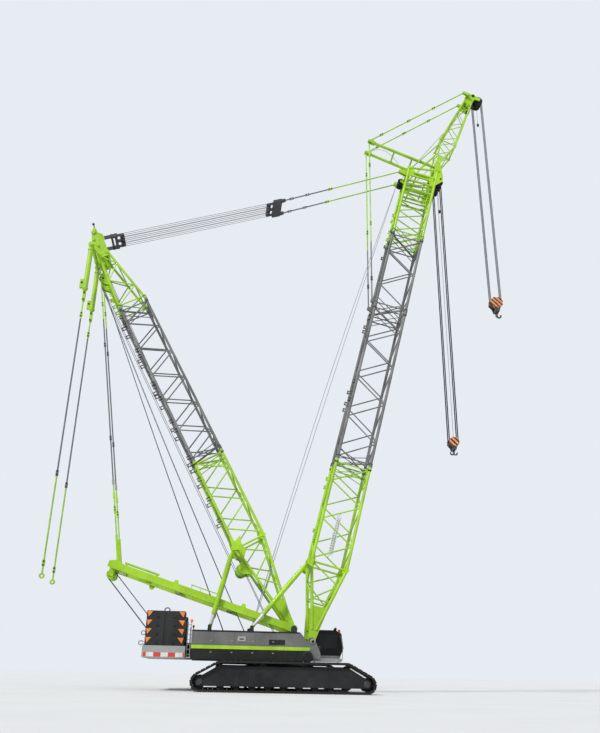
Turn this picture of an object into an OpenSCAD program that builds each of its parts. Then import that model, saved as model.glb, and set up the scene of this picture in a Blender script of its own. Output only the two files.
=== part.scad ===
/* [Crawlers] */
// Length of each track over its shoes
track_len = 5100; // [4800:50:5400]
// Height of a track's top run above the ground
track_h = 800; // [760:10:860]
// Height of a track's loop at its end wheels
track_end_h = 500; // [460:10:560]
// Length of the flat top run
track_top_len = 3500; // [3200:50:3700]
// Width of a track shoe
shoe_w = 600; // [520:10:640]
// Number of shoes on each track
shoes = 70; // [60:1:80]
// Thickness of the shoe belt
belt_t = 60; // [50:5:70]
// Distance between the two tracks' centre lines
gauge = 3600; // [3500:50:3800]
// Width of a crawler frame's box beam
crawler_beam_w = 330; // [280:10:360]
// Height of the slewing bearing's joint above the ground
slew_z = 840; // [820:10:880]
// Outer diameter of the slewing bearing
slew_d = 1500; // [1300:50:1600]

/* [Superstructure] */
// Width over the two side housings
upper_w = 3000; // [2900:20:3100]
// Rear end of the main frame, behind the slewing axis
frame_rear = 3850; // [3700:50:4000]
// Front end of the main frame, ahead of the slewing axis
frame_front = 1150; // [1100:20:1250]
// Height of the main frame's beams
frame_h = 350; // [320:10:370]
// Length of a side housing
housing_len = 3000; // [2800:50:3100]
// Height of a side housing
housing_h = 760; // [700:20:800]
// Wall of a housing
housing_wall = 20; // [15:5:30]
// Length of the cab
cab_len = 880; // [840:20:960]
// Width of the cab
cab_w = 480; // [440:10:520]
// Height of the cab
cab_h = 820; // [780:20:860]
// Thickness of the cab's walls and door
cab_wall = 25; // [20:5:35]
// Travel of the sliding cab door
door_travel = 360; // [300:10:380]
// Size of a counterweight slab along the machine
slab_len = 1080; // [1000:20:1120]
// Size of a counterweight slab across the machine
slab_w = 650; // [600:10:660]
// Thickness of a counterweight slab
slab_t = 230; // [200:10:250]
// Slabs in each counterweight stack
slab_count = 4; // [3:1:5]

/* [Boom] */
// Length from the boom's foot pin to the jib's foot pin
boom_len = 18500; // [18300:50:18700]
// Length of the boom's base section
boom_base_len = 5650; // [5550:50:5750]
// Length of the long insert
insert_long_len = 5950; // [5850:50:6050]
// Length of the short insert
insert_short_len = 3250; // [3150:50:3350]
// Distance between the boom's chords, both ways
boom_size = 1120; // [1080:10:1160]
// Radius of a boom chord
chord_r = 50; // [42:1:58]
// Radius of the boom's lacing
lace_r = 23; // [18:1:28]
// Angle of the boom above the horizontal
boom_angle = 76.4; // [70:0.2:80]
// Length of the fixed jib
jib_len = 4400; // [4200:50:4600]
// Angle of the fixed jib above the horizontal
jib_angle = 66; // [62:1:70]
// Length of the jib's strut
strut_len = 2870; // [2700:10:3000]
// Angle of the jib's strut above the horizontal, towards the rear
strut_angle = 21.4; // [18:0.2:26]

/* [Mast] */
// Length from the mast's foot pin to the tip of its head
mast_len = 15400; // [15200:10:15500]
// Length of the mast's base section
mast_base_len = 5970; // [5900:10:6050]
// Length of the mast's insert
mast_insert_len = 6030; // [5900:10:6100]
// Distance between the mast's chords, both ways
mast_size = 950; // [900:10:980]
// Radius of a mast chord
mast_chord_r = 42; // [36:1:48]
// Angle of the mast above the horizontal, towards the rear
mast_angle = 61; // [58:0.5:64]
// Length of the A-frame from its foot pin to its head pin
gantry_len = 5800; // [5700:20:5900]
// Angle of the A-frame above the horizontal, towards the rear
gantry_angle = 17; // [16:0.2:19]
// Depth of an A-frame beam
gantry_beam_h = 200; // [180:10:240]
// Width of an A-frame beam
gantry_beam_w = 170; // [150:10:180]

/* [Hooks] */
// Height of the main hook block's sheave pin above the ground
main_hook_z = 7940; // [7600:20:8400]
// Height of the auxiliary hook block's sheave pin above the ground
aux_hook_z = 13500; // [13000:50:14000]
// Radius of the hoist sheaves
sheave_r = 140; // [125:5:150]

/* [Fits] */
// Radial clearance of a pin in its eye
pin_gap = 0.3; // [0.1:0.1:0.5]
// Side clearance of an eye in its fork
side_gap = 6; // [5:1:10]
// Clearance between a telescoping rod and its tube
rod_gap = 0.5; // [0.3:0.1:1]

/* [Hidden] */

lime = [0.55, 0.78, 0.10];
worn_grey = [0.45, 0.42, 0.38];
dark_grey = [0.16, 0.17, 0.18];
mid_grey = [0.38, 0.39, 0.40];
black = [0.06, 0.06, 0.07];
steel = [0.75, 0.76, 0.78];
orange = [0.85, 0.35, 0.08];

round_sides = 32;
lace_sides = 8;

// Places of the main pins, as [x, z] in the plane of symmetry
boom_foot = [920, 1405];
mast_foot = [375, 1725];
boom_stop_foot = [-875, 1720];
mast_stop_foot = [-2100, 1720];
foot_pin_r = 50;

// Directions of the long members, measured from straight ahead
mast_dir = 180 - mast_angle;
gantry_dir = 180 - gantry_angle;
strut_dir = 180 - strut_angle;

// A place u along a member and w to its upper or rear side, in the plane of symmetry
function place(p, a, u, w) = [p[0] + u * cos(a) - w * sin(a), p[1] + u * sin(a) + w * cos(a)];
function heading(a, b) = atan2(b[1] - a[1], b[0] - a[0]);

boom_half = boom_size / 2;
boom_knee = 2250;
boom_end = boom_base_len + insert_long_len + insert_short_len;
head_pin_w = -boom_half + 80;
jib_foot = place(boom_foot, boom_angle, boom_len, head_pin_w);
sheave_u = boom_len - 640;
sheave_w = -boom_half - 190;
main_sheave_at = place(boom_foot, boom_angle, sheave_u, sheave_w);
jib_tip = place(jib_foot, jib_angle, jib_len, 0);
aux_sheave_r = 190;
aux_sheave_at = [jib_tip[0] + 330, jib_tip[1] - 120];
strut_tip = place(jib_foot, strut_dir, strut_len, 0);
lug_u = boom_len - 700;
lug_w = boom_half + 300;
pendant_lug_at = place(boom_foot, boom_angle, lug_u, lug_w);
pendant_y = 415;

mast_half = mast_size / 2;
mast_knee = 2888;
link_pin_at = place(mast_foot, mast_dir, mast_len - 482, -50);
ballast_pin_at = place(mast_foot, mast_dir, mast_len - 844, 424);
gantry_stay_lug = [gantry_len - 230, -20];
gantry_stay_pin = place(mast_foot, gantry_dir, gantry_stay_lug[0], gantry_stay_lug[1]);
stay_head_lug = [mast_len - 1490, 430];
gantry_stay_top = place(mast_foot, mast_dir, stay_head_lug[0], stay_head_lug[1]);
gantry_stay_y = 380;
gantry_y = 650;
mast_y = mast_half;
stop_y = 840;
ballast_y = 800;
ballast_eye_z = 2990;

// Places a member's own frame: x along it, z to its upper or rear side
module along(p, a) translate([p[0], 0, p[1]]) rotate([0, -a, 0]) children();

// Turns a rod about itself, so that its seam lies clear of the rods that meet it
rod_seam = 7;
module rod(a, b, r, sides = round_sides) {
    d = b - a;
    translate(a)
        rotate([0, acos(d[2] / norm(d)), atan2(d[1], d[0])])
            rotate([0, 0, rod_seam])
                cylinder(h = norm(d), r = r, $fn = sides);
}

// A pin or tube across the machine, from y0 to y1, at [x, z]
module across(p, y0, y1, r, sides = round_sides)
    translate([p[0], y1, p[1]]) rotate([90, 0, 0]) cylinder(h = y1 - y0, r = r, $fn = sides);

module both_sides() for (s = [-1, 1]) scale_side(s) children();
module scale_side(s) if (s > 0) children(); else mirror([0, 1, 0]) children();

// A plate in the plane of symmetry's direction, from y0 to y1
module side_plate(points, y0, y1)
    translate([0, y1, 0]) rotate([90, 0, 0]) linear_extrude(y1 - y0) polygon(points);

module block(x, y, z) translate([x[0], y[0], z[0]]) cube([x[1] - x[0], y[1] - y[0], z[1] - z[0]]);

// One end of a section of lattice: u along it, half width across, low and high chord offsets,
// and where given, how much further the low chords reach
function chord_at(e, sy, top) = [e[0] + (top || e[4] == undef ? 0 : e[4]), sy * e[1], top ? e[3] : e[2]];
function between(a, b, t) = a * (1 - t) + b * t;

// The four chords between two ends, each stopping short of a knee's node by its trim
module chords(e0, e1, r, trim = [0, 0])
    for (sy = [-1, 1], top = [false, true]) {
        a = chord_at(e0, sy, top);
        b = chord_at(e1, sy, top);
        way = (b - a) / norm(b - a);
        rod(a + trim[0] * way, b - trim[1] * way, r);
    }

// The nodes where bent chords meet
module knee_nodes(e, r)
    for (sy = [-1, 1], top = [false, true]) {
        c = chord_at(e, sy, top);
        across([c[0], c[2]], c[1] - r * 1.2, c[1] + r * 1.2, r * 1.4);
    }

// Zigzag lacing on the four faces between two ends: the two side faces mirror each other,
// and the other two join the nodes that this gives
module lacing(e0, e1, bays, r, flip = 0)
    for (i = [0 : bays - 1]) {
        a = between(e0, e1, i / bays);
        b = between(e0, e1, (i + 1) / bays);
        up = (i + flip) % 2 == 0;
        for (sy = [-1, 1])
            rod(chord_at(a, sy, up == (sy < 0)), chord_at(b, sy, up == (sy > 0)), r, lace_sides);
        for (top = [false, true]) {
            side = up == top ? -1 : 1;
            rod(chord_at(a, side, top), chord_at(b, -side, top), r, lace_sides);
        }
    }

// The frame of four posts that closes a section's end
module end_frame(e, r) {
    for (sy = [-1, 1]) rod(chord_at(e, sy, false), chord_at(e, sy, true), r, lace_sides);
    for (top = [false, true]) rod(chord_at(e, -1, top), chord_at(e, 1, top), r, lace_sides);
}
// The bar that braces a section's end frame from corner to corner
module brace(e, s, r) rod(chord_at(e, -s, false), chord_at(e, s, true), r, lace_sides);

// The collars and cross pins that couple two sections at a chord's end
module couplings(e, r, back)
    for (sy = [-1, 1], top = [false, true]) {
        c = chord_at(e, sy, top);
        rod(c, c + [back, 0, 0], r * 1.35);
        across([c[0] + back / 2, c[2]], c[1] - r * 1.9, c[1] + r * 1.9, r * 0.55);
    }

module straight_section(u0, u1, half, bays, r, lr, flip = 0, ends = [true, true]) {
    inset = 110;
    e0 = [u0, half, -half, half];
    e1 = [u1, half, -half, half];
    step = [inset, 0, 0, 0];
    chords(e0, e1, r, [ends[0] ? 0 : r * 0.3, ends[1] ? 0 : r * 0.3]);
    lacing(e0 + step, e1 - step, bays, lr, flip);
    if (ends[0]) {
        end_frame(e0 + step, lr);
        brace(e0 + step, 1, lr);
        couplings(e0, r, 90);
    }
    if (ends[1]) {
        end_frame(e1 - step, lr);
        brace(e1 - step, -1, lr);
        couplings(e1, r, -90);
    }
}

// Tracks: a loop round the end wheels and the corner rollers of the top run
end_wheel_r = track_end_h / 2 - belt_t;
corner_r = 130;
wheel_x = track_len / 2 - track_end_h / 2;
corner_x = track_top_len / 2;
loop = [[-wheel_x, track_end_h / 2, end_wheel_r], [wheel_x, track_end_h / 2, end_wheel_r],
    [corner_x, track_h - belt_t - corner_r, corner_r], [-corner_x, track_h - belt_t - corner_r, corner_r]];

function leave(i) =
    let (a = loop[i], b = loop[(i + 1) % 4], d = [b[0] - a[0], b[1] - a[1]])
        atan2(d[1], d[0]) - 90 + asin((a[2] - b[2]) / norm(d));
function wrap(a, low) = a < low ? wrap(a + 360, low) : (a >= low + 360 ? wrap(a - 360, low) : a);
arrive = [for (i = [0:3]) leave((i + 3) % 4)];
depart = [for (i = [0:3]) wrap(leave(i), arrive[i])];
function rim(i, a, off) = [loop[i][0] + (loop[i][2] + off) * cos(a), loop[i][1] + (loop[i][2] + off) * sin(a)];
arc_len = [for (i = [0:3]) loop[i][2] * (depart[i] - arrive[i]) * PI / 180];
run_len = [for (i = [0:3]) norm(rim((i + 1) % 4, depart[i], 0) - rim(i, depart[i], 0))];
function upto(v, n) = n == 0 ? 0 : v[n - 1] + upto(v, n - 1);
piece_len = [for (i = [0:3]) each [arc_len[i], run_len[i]]];
loop_len = upto(piece_len, 8);
// The point at distance s along the loop, off outside the wheels
function on_loop(s, off, k = 0) =
    s <= piece_len[k] || k == 7 ? (
        let (i = floor(k / 2), t = s / piece_len[k])
            k % 2 == 0
            ? rim(i, arrive[i] + t * (depart[i] - arrive[i]), off)
            : between(rim(i, depart[i], off), rim((i + 1) % 4, depart[i], off), t)
    ) : on_loop(s - piece_len[k], off, k + 1);

// A rope sheave on an axis across the machine, r at its groove's floor, with a dished web
module sheave(p, y, r, w, rope)
    translate([p[0], y, p[1]]) rotate([90, 0, 0]) rotate_extrude($fn = 64)
        polygon([[0, -w / 2], [r * 0.38, -w / 2], [r * 0.45, -w / 4], [r * 0.84, -w / 4], [r * 0.9, -w / 2],
            [r + rope, -w / 2], [r + rope, -rope * 1.3], [r, -rope * 0.7], [r, rope * 0.7],
            [r + rope, rope * 1.3], [r + rope, w / 2], [r * 0.9, w / 2], [r * 0.84, w / 4],
            [r * 0.45, w / 4], [r * 0.38, w / 2], [0, w / 2]]);

// A rope drum between two flanges, with its rope lying in layers on the barrel
drum_coils = 11;
module drum(p, half, r, flange_r, flange_t) {
    pitch = 2 * half / drum_coils;
    translate([p[0], 0, p[1]]) rotate([90, 0, 0]) rotate_extrude($fn = 64)
        polygon([[0, -half], for (i = [0 : drum_coils - 1]) each [
            [r, -half + i * pitch], [r + pitch * 0.22, -half + (i + 0.3) * pitch],
            [r + pitch * 0.22, -half + (i + 0.7) * pitch]], [r, half], [0, half]]);
    for (s = [-1, 1]) across(p, s * half - flange_t / 2, s * half + flange_t / 2, flange_r);
}

pad_t = 26;
shoe_gap = 0.16;
module track() {
    pitch = loop_len / shoes;
    outer = [for (i = [0 : shoes - 1]) each [
        on_loop((i + shoe_gap / 2) * pitch, belt_t - pad_t),
        on_loop((i + shoe_gap) * pitch, belt_t),
        on_loop((i + 1 - shoe_gap / 2) * pitch, belt_t),
        on_loop((i + 1) * pitch, belt_t - pad_t)]];
    inner = [for (i = [0 : shoes - 1]) on_loop(i * pitch, 0)];
    color(black)
        difference() {
            side_plate(outer, -shoe_w / 2, shoe_w / 2);
            side_plate(inner, -shoe_w / 2 - 1, shoe_w / 2 + 1);
        }
}

seat_gap = 0.3;
roller_r = 100;
roller_count = 9;
roller_pitch = 430;
roller_w = 200;
axle_r = 30;
plate_t = 40;
plate_y = crawler_beam_w / 2 - plate_t;
// A wheel that the belt's straight links bend round
function inside_belt(r) = r * cos(90 / PI * loop_len / shoes / r) - seat_gap;
module roller(p, r, w) {
    across(p, -w / 2, w / 2, r);
    across(p, -plate_y, plate_y, axle_r);
}
module rollers() color(dark_grey)
    both_sides() translate([0, gauge / 2, 0]) {
        for (x = [-wheel_x, wheel_x]) roller([x, track_end_h / 2], inside_belt(end_wheel_r), roller_w);
        for (i = [0 : roller_count - 1])
            roller([(i - (roller_count - 1) / 2) * roller_pitch, belt_t + roller_r + seat_gap], roller_r, roller_w);
        for (x = [-corner_x, corner_x])
            roller([x, track_h - belt_t - corner_r], inside_belt(corner_r), roller_w);
        for (x = [-corner_x / 3, corner_x / 3])
            roller([x, track_h - belt_t - roller_r - seat_gap], roller_r, roller_w);
    }

module crawler_frame() color(dark_grey) {
    beam_z0 = belt_t + 2 * roller_r + 20;
    beam_z1 = track_h - belt_t - 2 * corner_r - 15;
    beam_x = wheel_x - end_wheel_r - 30;
    plate_z0 = belt_t + roller_r - 10;
    block([-beam_x, beam_x], [-plate_y, plate_y], [beam_z0, beam_z1]);
    for (y = [-crawler_beam_w / 2, plate_y])
        side_plate([[-beam_x, plate_z0], [beam_x, plate_z0], [wheel_x + 90, track_end_h / 2 - 80],
            [wheel_x + 90, track_end_h / 2 + 80], [corner_x + 60, track_h - belt_t - corner_r + 50],
            [-corner_x - 60, track_h - belt_t - corner_r + 50], [-wheel_x - 90, track_end_h / 2 + 80],
            [-wheel_x - 90, track_end_h / 2 - 80]], y, y + plate_t);
}

carbody_len = 1900;
carbody_w = 1700;
carbody_z0 = 330;
axle_w = 420;
module carbody() color(dark_grey) {
    inner = gauge / 2 - crawler_beam_w / 2;
    block([-carbody_len / 2, carbody_len / 2], [-carbody_w / 2, carbody_w / 2], [carbody_z0, slew_z - 120]);
    translate([0, 0, slew_z - 120]) cylinder(h = 120, d = slew_d, $fn = 96);
    for (x = [-carbody_len / 2 + axle_w / 2, carbody_len / 2 - axle_w / 2])
        block([x - axle_w / 2, x + axle_w / 2], [-inner, inner], [carbody_z0 + 40, slew_z - 230]);
}

weight_len = 900;
weight_w = 1500;
module carbody_weights() color(mid_grey)
    for (s = [-1, 1])
        block(s > 0 ? [carbody_len / 2, carbody_len / 2 + weight_len] : [-carbody_len / 2 - weight_len, -carbody_len / 2],
            [-weight_w / 2, weight_w / 2], [carbody_z0 - 60, slew_z - 140]);

turntable_t = 70;
slew_gap = 0.5;
module turntable() color(dark_grey)
    translate([0, 0, slew_z + slew_gap]) cylinder(h = turntable_t - slew_gap, d = slew_d - 60, $fn = 96);

frame_z0 = slew_z + turntable_t;
frame_z1 = frame_z0 + frame_h;
frame_beam_y = 700;
frame_beam_w = 300;
deck_t = 60;
// Fork plates of a foot pin, as [inner y, outer y], each mirrored to the other side
boom_leg = [boom_half - 55, boom_half + 55];
mast_leg = [mast_y - 50, mast_y + 50];
gantry_leg = [gantry_y - gantry_beam_w / 2, gantry_y + gantry_beam_w / 2];
cheek_t = 40;
fork_head_r = 85;
stop_leg = [stop_y - 50, stop_y + 50];
stop_cheek_t = 25;
stop_pin_r = 35;

// The plates that hold a foot pin, standing on the main frame
module fork_cheeks(p, widths, head_r)
    for (y = widths) {
        across(p, y[0], y[1], head_r);
        side_plate([[p[0] - head_r * 1.7, frame_z1 - 40], [p[0] + head_r * 1.7, frame_z1 - 40],
            [p[0] + head_r * 0.95, p[1] + head_r * 0.2], [p[0] - head_r * 0.95, p[1] + head_r * 0.2]], y[0], y[1]);
    }

module main_frame() color(dark_grey) {
    both_sides() {
        block([-frame_rear, frame_front], [frame_beam_y - frame_beam_w / 2, frame_beam_y + frame_beam_w / 2],
            [frame_z0, frame_z1]);
        fork_cheeks(boom_foot, [[boom_leg[0] - side_gap - cheek_t, boom_leg[0] - side_gap],
            [boom_leg[1] + side_gap, boom_leg[1] + side_gap + cheek_t]], fork_head_r);
        across(boom_foot, boom_leg[0] - side_gap - cheek_t, boom_leg[1] + side_gap + cheek_t, foot_pin_r - pin_gap);
        fork_cheeks(mast_foot, [[mast_leg[0] - side_gap - cheek_t, mast_leg[0] - side_gap],
            [gantry_leg[1] + side_gap, gantry_leg[1] + side_gap + cheek_t]], fork_head_r);
        across(mast_foot, mast_leg[0] - side_gap - cheek_t, gantry_leg[1] + side_gap + cheek_t, foot_pin_r - pin_gap);
        for (p = [boom_stop_foot, mast_stop_foot]) {
            for (y = [stop_leg[0] - side_gap - stop_cheek_t, stop_leg[1] + side_gap])
                side_plate([[p[0] - 110, frame_z1 - 60], [p[0] + 110, frame_z1 - 60],
                    [p[0] + 45, p[1] + 50], [p[0] - 45, p[1] + 50]], y, y + stop_cheek_t);
            block([p[0] - 110, p[0] + 110], [frame_beam_y, stop_leg[1] + side_gap + stop_cheek_t],
                [frame_z1 - 60, frame_z1 + 10]);
        }
    }
    for (x = [-frame_rear, -2300, -700, frame_front - 200])
        block([x, x + 200], [-frame_beam_y, frame_beam_y], [frame_z0, frame_z1 - 60]);
    block([-frame_rear, frame_front], [-frame_beam_y, frame_beam_y], [frame_z0, frame_z0 + deck_t]);
    both_sides() side_plate([[gantry_rope_foot[0] - 160, frame_z0], [gantry_rope_foot[0] + 160, frame_z0],
        [gantry_rope_foot[0] + 60, gantry_rope_foot[1] + 60], [gantry_rope_foot[0] - 60, gantry_rope_foot[1] + 60]],
        rear_sheave_y, rear_sheave_y + stop_cheek_t);
    across(gantry_rope_foot, -rear_sheave_y - stop_cheek_t, rear_sheave_y + stop_cheek_t, 30);
    both_sides() for (y = gantry_rope_y) sheave(gantry_rope_foot, y, gantry_sheave_r, 70, luff_rope_r);
}
rear_sheave_y = 420;

housing_x0 = -2585;
housing_x1 = housing_x0 + housing_len;
housing_y0 = frame_beam_y + frame_beam_w / 2 + 130;
housing_z0 = slew_z - 20;
housing_profile = [[housing_x0, housing_z0], [housing_x1 - 80, housing_z0], [housing_x1, housing_z0 + 240],
    [housing_x1 - 260, housing_z0 + housing_h], [housing_x0, housing_z0 + housing_h]];
door_pitch = 580;
door_seam = 8;
door_depth = 6;
louvre_pitch = 38;
// Seams between the doors of a housing, and the louvres in the two middle doors
module door_cuts() {
    y = [upper_w / 2 - door_depth, upper_w / 2 + 1];
    for (i = [0 : 4]) {
        x = housing_x0 + 40 + i * door_pitch;
        block([x, x + door_seam], y, [housing_z0 + 50, housing_z0 + housing_h - 35]);
    }
    for (z = [50, housing_h * 0.53, housing_h - 35])
        block([housing_x0 + 40, housing_x0 + 40 + 4 * door_pitch + door_seam], y, [housing_z0 + z, housing_z0 + z + door_seam]);
    for (i = [1, 2], k = [0 : 6])
        block([housing_x0 + 110 + i * door_pitch, housing_x0 - 30 + (i + 1) * door_pitch], y,
            [housing_z0 + 95 + k * louvre_pitch, housing_z0 + 110 + k * louvre_pitch]);
}
module housing() color(mid_grey)
    difference() {
        side_plate(housing_profile, housing_y0, upper_w / 2);
        door_cuts();
        side_plate([[housing_x0 + housing_wall, housing_z0 + housing_wall],
            [housing_x1 - 100, housing_z0 + housing_wall], [housing_x1 - 30, housing_z0 + 245],
            [housing_x1 - 275, housing_z0 + housing_h - housing_wall],
            [housing_x0 + housing_wall, housing_z0 + housing_h - housing_wall]],
            housing_y0 + housing_wall, upper_w / 2 - housing_wall);
    }
// The brackets that carry a housing on the main frame
module housing_brackets()
    for (x = [housing_x0 + 300, housing_x0 + 1700])
        block([x, x + 120], [frame_beam_y + frame_beam_w / 2, housing_y0], [frame_z0 + 60, frame_z0 + 240]);

module housing_right() color(mid_grey) mirror([0, 1, 0]) { housing(); housing_brackets(); }
module housing_left() color(mid_grey) { housing(); housing_brackets(); }

module engine() color(dark_grey)
    block([-2100, -900], [housing_y0 + housing_wall, upper_w / 2 - housing_wall - 40],
        [housing_z0 + housing_wall, housing_z0 + 560]);

drum_r = 190;
drum_w = 760;
winch_x = [-200, -1100, -1750];
module winches() color(worn_grey)
    for (x = winch_x) {
        z = frame_z1 + 60;
        drum([x, z], drum_w / 2, drum_r, drum_r + 70, 30);
        across([x, z], drum_w / 2 + 50, drum_w / 2 + 130, drum_r * 0.62);
        across([x, z], drum_w / 2 + 130, drum_w / 2 + 150, drum_r * 0.35);
        for (s = [-1, 1])
            side_plate([[x - 160, frame_z0 + deck_t], [x + 160, frame_z0 + deck_t],
                [x + 60, z + 60], [x - 60, z + 60]],
                s * (drum_w / 2 + 45) - 20, s * (drum_w / 2 + 45) + 20);
        across([x, z], -drum_w / 2 - 50, drum_w / 2 + 50, 55);
    }

cab_x0 = 1250;
cab_x1 = cab_x0 + cab_len;
cab_y0 = 860;
cab_y1 = cab_y0 + cab_w;
cab_z0 = 900;
cab_floor = cab_z0 + 60;
cab_z1 = cab_floor + cab_h;
cab_outline = [[cab_x0, cab_floor], [cab_x1 - 120, cab_floor], [cab_x1, cab_floor + 300],
    [cab_x1 - 60, cab_z1 - 90], [cab_x1 - 220, cab_z1], [cab_x0, cab_z1]];
cab_inside = [[cab_x0 + cab_wall, cab_floor + cab_wall], [cab_x1 - 140, cab_floor + cab_wall],
    [cab_x1 - cab_wall - 4, cab_floor + 305], [cab_x1 - 60 - cab_wall, cab_z1 - 105],
    [cab_x1 - 230, cab_z1 - cab_wall], [cab_x0 + cab_wall, cab_z1 - cab_wall]];
door_x = [cab_x0 + 400, cab_x1 - 160];
door_z = [cab_floor + 60, cab_z1 - 90];
glass_t = 8;
door_gap = 6;

module cab_platform() color(mid_grey) {
    block([frame_front - 200, cab_x1 - 60], [cab_y0, cab_y1], [cab_z0 - 40, cab_z0 + 60]);
    block([frame_front - 200, frame_front], [frame_beam_y + frame_beam_w / 2, cab_y0], [cab_z0 + 20, cab_z0 + 60]);
}
module cab_shell() {
    cab_walls();
    door_rails();
}
module cab_walls() color(mid_grey)
    difference() {
        side_plate(cab_outline, cab_y0, cab_y1);
        side_plate(cab_inside, cab_y0 + cab_wall, cab_y1 - cab_wall);
        block(door_x, [cab_y1 - cab_wall - 1, cab_y1 + 1], door_z);
        block([cab_x0 + 90, cab_x1 - 200], [cab_y0 - 1, cab_y0 + cab_wall + 1], [cab_floor + 300, cab_z1 - 110]);
        block([cab_x0 + 70, door_x[0] - 60], [cab_y1 - cab_wall - 1, cab_y1 + 1], [cab_floor + 300, cab_z1 - 110]);
        block([cab_x0 - 1, cab_x0 + cab_wall + 1], [cab_y0 + 90, cab_y1 - 90], [cab_floor + 340, cab_z1 - 110]);
        block([cab_x1 - 170, cab_x1 + 60], [cab_y0 + 60, cab_y1 - 60], [cab_floor + 120, cab_z1 - 120]);
    }
// The rails that the door slides on
module door_rails() color(mid_grey)
    for (z = [door_z[0] - 20, door_z[1]])
        block([cab_x0, door_x[1] + 20], [cab_y1, cab_y1 + door_gap - seat_gap], [z, z + 20]);
module cab_glass() color(black) {
    side_plate([[cab_x1 - 76, cab_floor + 120], [cab_x1 - 68, cab_floor + 120], [cab_x1 - 4, cab_floor + 296],
        [cab_x1 - 56, cab_z1 - 120], [cab_x1 - 66, cab_z1 - 120], [cab_x1 - 14, cab_floor + 296]],
        cab_y0 + 60, cab_y1 - 60);
    block([cab_x0 + 90, cab_x1 - 200], [cab_y0 + 8, cab_y0 + 8 + glass_t], [cab_floor + 300, cab_z1 - 110]);
    block([cab_x0 + 70, door_x[0] - 60], [cab_y1 - 16, cab_y1 - 16 + glass_t], [cab_floor + 300, cab_z1 - 110]);
    block([cab_x0 + 8, cab_x0 + 8 + glass_t], [cab_y0 + 90, cab_y1 - 90], [cab_floor + 340, cab_z1 - 110]);
}
module cab_seat() color(black) {
    seat_y = [cab_y0 + 130, cab_y1 - 130];
    block([cab_x0 + 300, cab_x0 + 420], [seat_y[0] + 40, seat_y[1] - 40], [cab_floor + cab_wall, cab_floor + 200]);
    block([cab_x0 + 230, cab_x0 + 500], seat_y, [cab_floor + 200, cab_floor + 260]);
    block([cab_x0 + 180, cab_x0 + 240], seat_y, [cab_floor + 230, cab_floor + 620]);
}
module cab_door() color(mid_grey)
    difference() {
        block([door_x[0] - 20, door_x[1] + 20], [cab_y1 + door_gap, cab_y1 + door_gap + cab_wall], [door_z[0] - 20, door_z[1] + 20]);
        block([door_x[0] + 40, door_x[1] - 40], [cab_y1, cab_y1 + 50], [door_z[0] + 160, door_z[1] - 50]);
    }

tray_t = 310;
slab_y1 = upper_w / 2 + 20;
slab_x0 = -frame_rear - 20;
tray_x = [slab_x0 - 50, slab_x0 + slab_len + 50];
module counterweight_tray() color(mid_grey) {
    block(tray_x, [-slab_y1, slab_y1], [slew_z, slew_z + turntable_t]);
    both_sides()
        block(tray_x, [frame_beam_y + frame_beam_w / 2, slab_y1], [slew_z + turntable_t, slew_z + tray_t]);
}
slab_edge = 12;
slab_lug_r = 35;
// One slab: bevelled edges, a groove down its outer face and a lifting pin on each side of it
module slab(z) {
    mid = slab_x0 + slab_len / 2;
    difference() {
        side_plate([[slab_x0, z + slab_edge], [slab_x0 + slab_edge, z], [slab_x0 + slab_len - slab_edge, z],
            [slab_x0 + slab_len, z + slab_edge], [slab_x0 + slab_len, z + slab_t - slab_edge],
            [slab_x0 + slab_len - slab_edge, z + slab_t], [slab_x0 + slab_edge, z + slab_t],
            [slab_x0, z + slab_t - slab_edge]], slab_y1 - slab_w, slab_y1);
        block([mid - 40, mid + 40], [slab_y1 - 20, slab_y1 + 1], [z - 1, z + slab_t + 1]);
    }
    for (x = [slab_x0 + slab_len * 0.28, slab_x0 + slab_len * 0.72])
        across([x, z + slab_t * 0.4], slab_y1 - 5, slab_y1 + 30, slab_lug_r);
}
module slab_stack() color(dark_grey)
    for (i = [0 : slab_count - 1]) slab(slew_z + tray_t + i * slab_t);
module slabs_left() slab_stack();
module slabs_right() mirror([0, 1, 0]) slab_stack();

web_len = 1000;
module boom_base() color(lime) along(boom_foot, boom_angle) {
    foot = [320, boom_half, -62, 62];
    knee = [boom_knee, boom_half, -boom_half, boom_half];
    chords(foot, knee, chord_r, [0, chord_r * 0.3]);
    knee_nodes(knee, chord_r);
    both_sides() difference() {
        union() {
            across([0, 0], boom_leg[0], boom_leg[1], 110);
            side_plate([[0, -100], [web_len, -web_len * 0.27], [web_len, web_len * 0.27], [0, 100]], boom_leg[0] + 35, boom_leg[1] - 35);
        }
        across([0, 0], boom_leg[0] - 1, boom_leg[1] + 1, foot_pin_r);
    }
    lacing(between(foot, knee, 0.45), knee, 2, lace_r, 0);
    end_frame(between(foot, knee, 0.45), lace_r);
    straight_section(boom_knee, boom_base_len, boom_half, 5, chord_r, lace_r, 0, [false, true]);
    end_frame(knee, lace_r * 1.4);
    stop_lug(boom_stop_lug, boom_half);
}
// The fork on a chord that carries a telescoping stop, with its pin at [u, w]
module stop_lug(p, half)
    both_sides() {
        outer = stop_leg[1] + side_gap + stop_cheek_t;
        across(p, half, outer, stop_pin_r - pin_gap);
        for (y = [stop_leg[0] - side_gap - stop_cheek_t, stop_leg[1] + side_gap])
            side_plate([[p[0] - 120, half - 30], [p[0] + 120, half - 30], [p[0] + 50, p[1] + 50], [p[0] - 50, p[1] + 50]],
                y, y + stop_cheek_t);
        block([p[0] - 120, p[0] + 120], [half, outer], [half - 30, half]);
    }
boom_stop_lug = [2140, boom_half + 130];

module boom_insert_long() color(worn_grey) along(boom_foot, boom_angle)
    straight_section(boom_base_len, boom_base_len + insert_long_len, boom_half, 8, chord_r, lace_r, 0);
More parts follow.
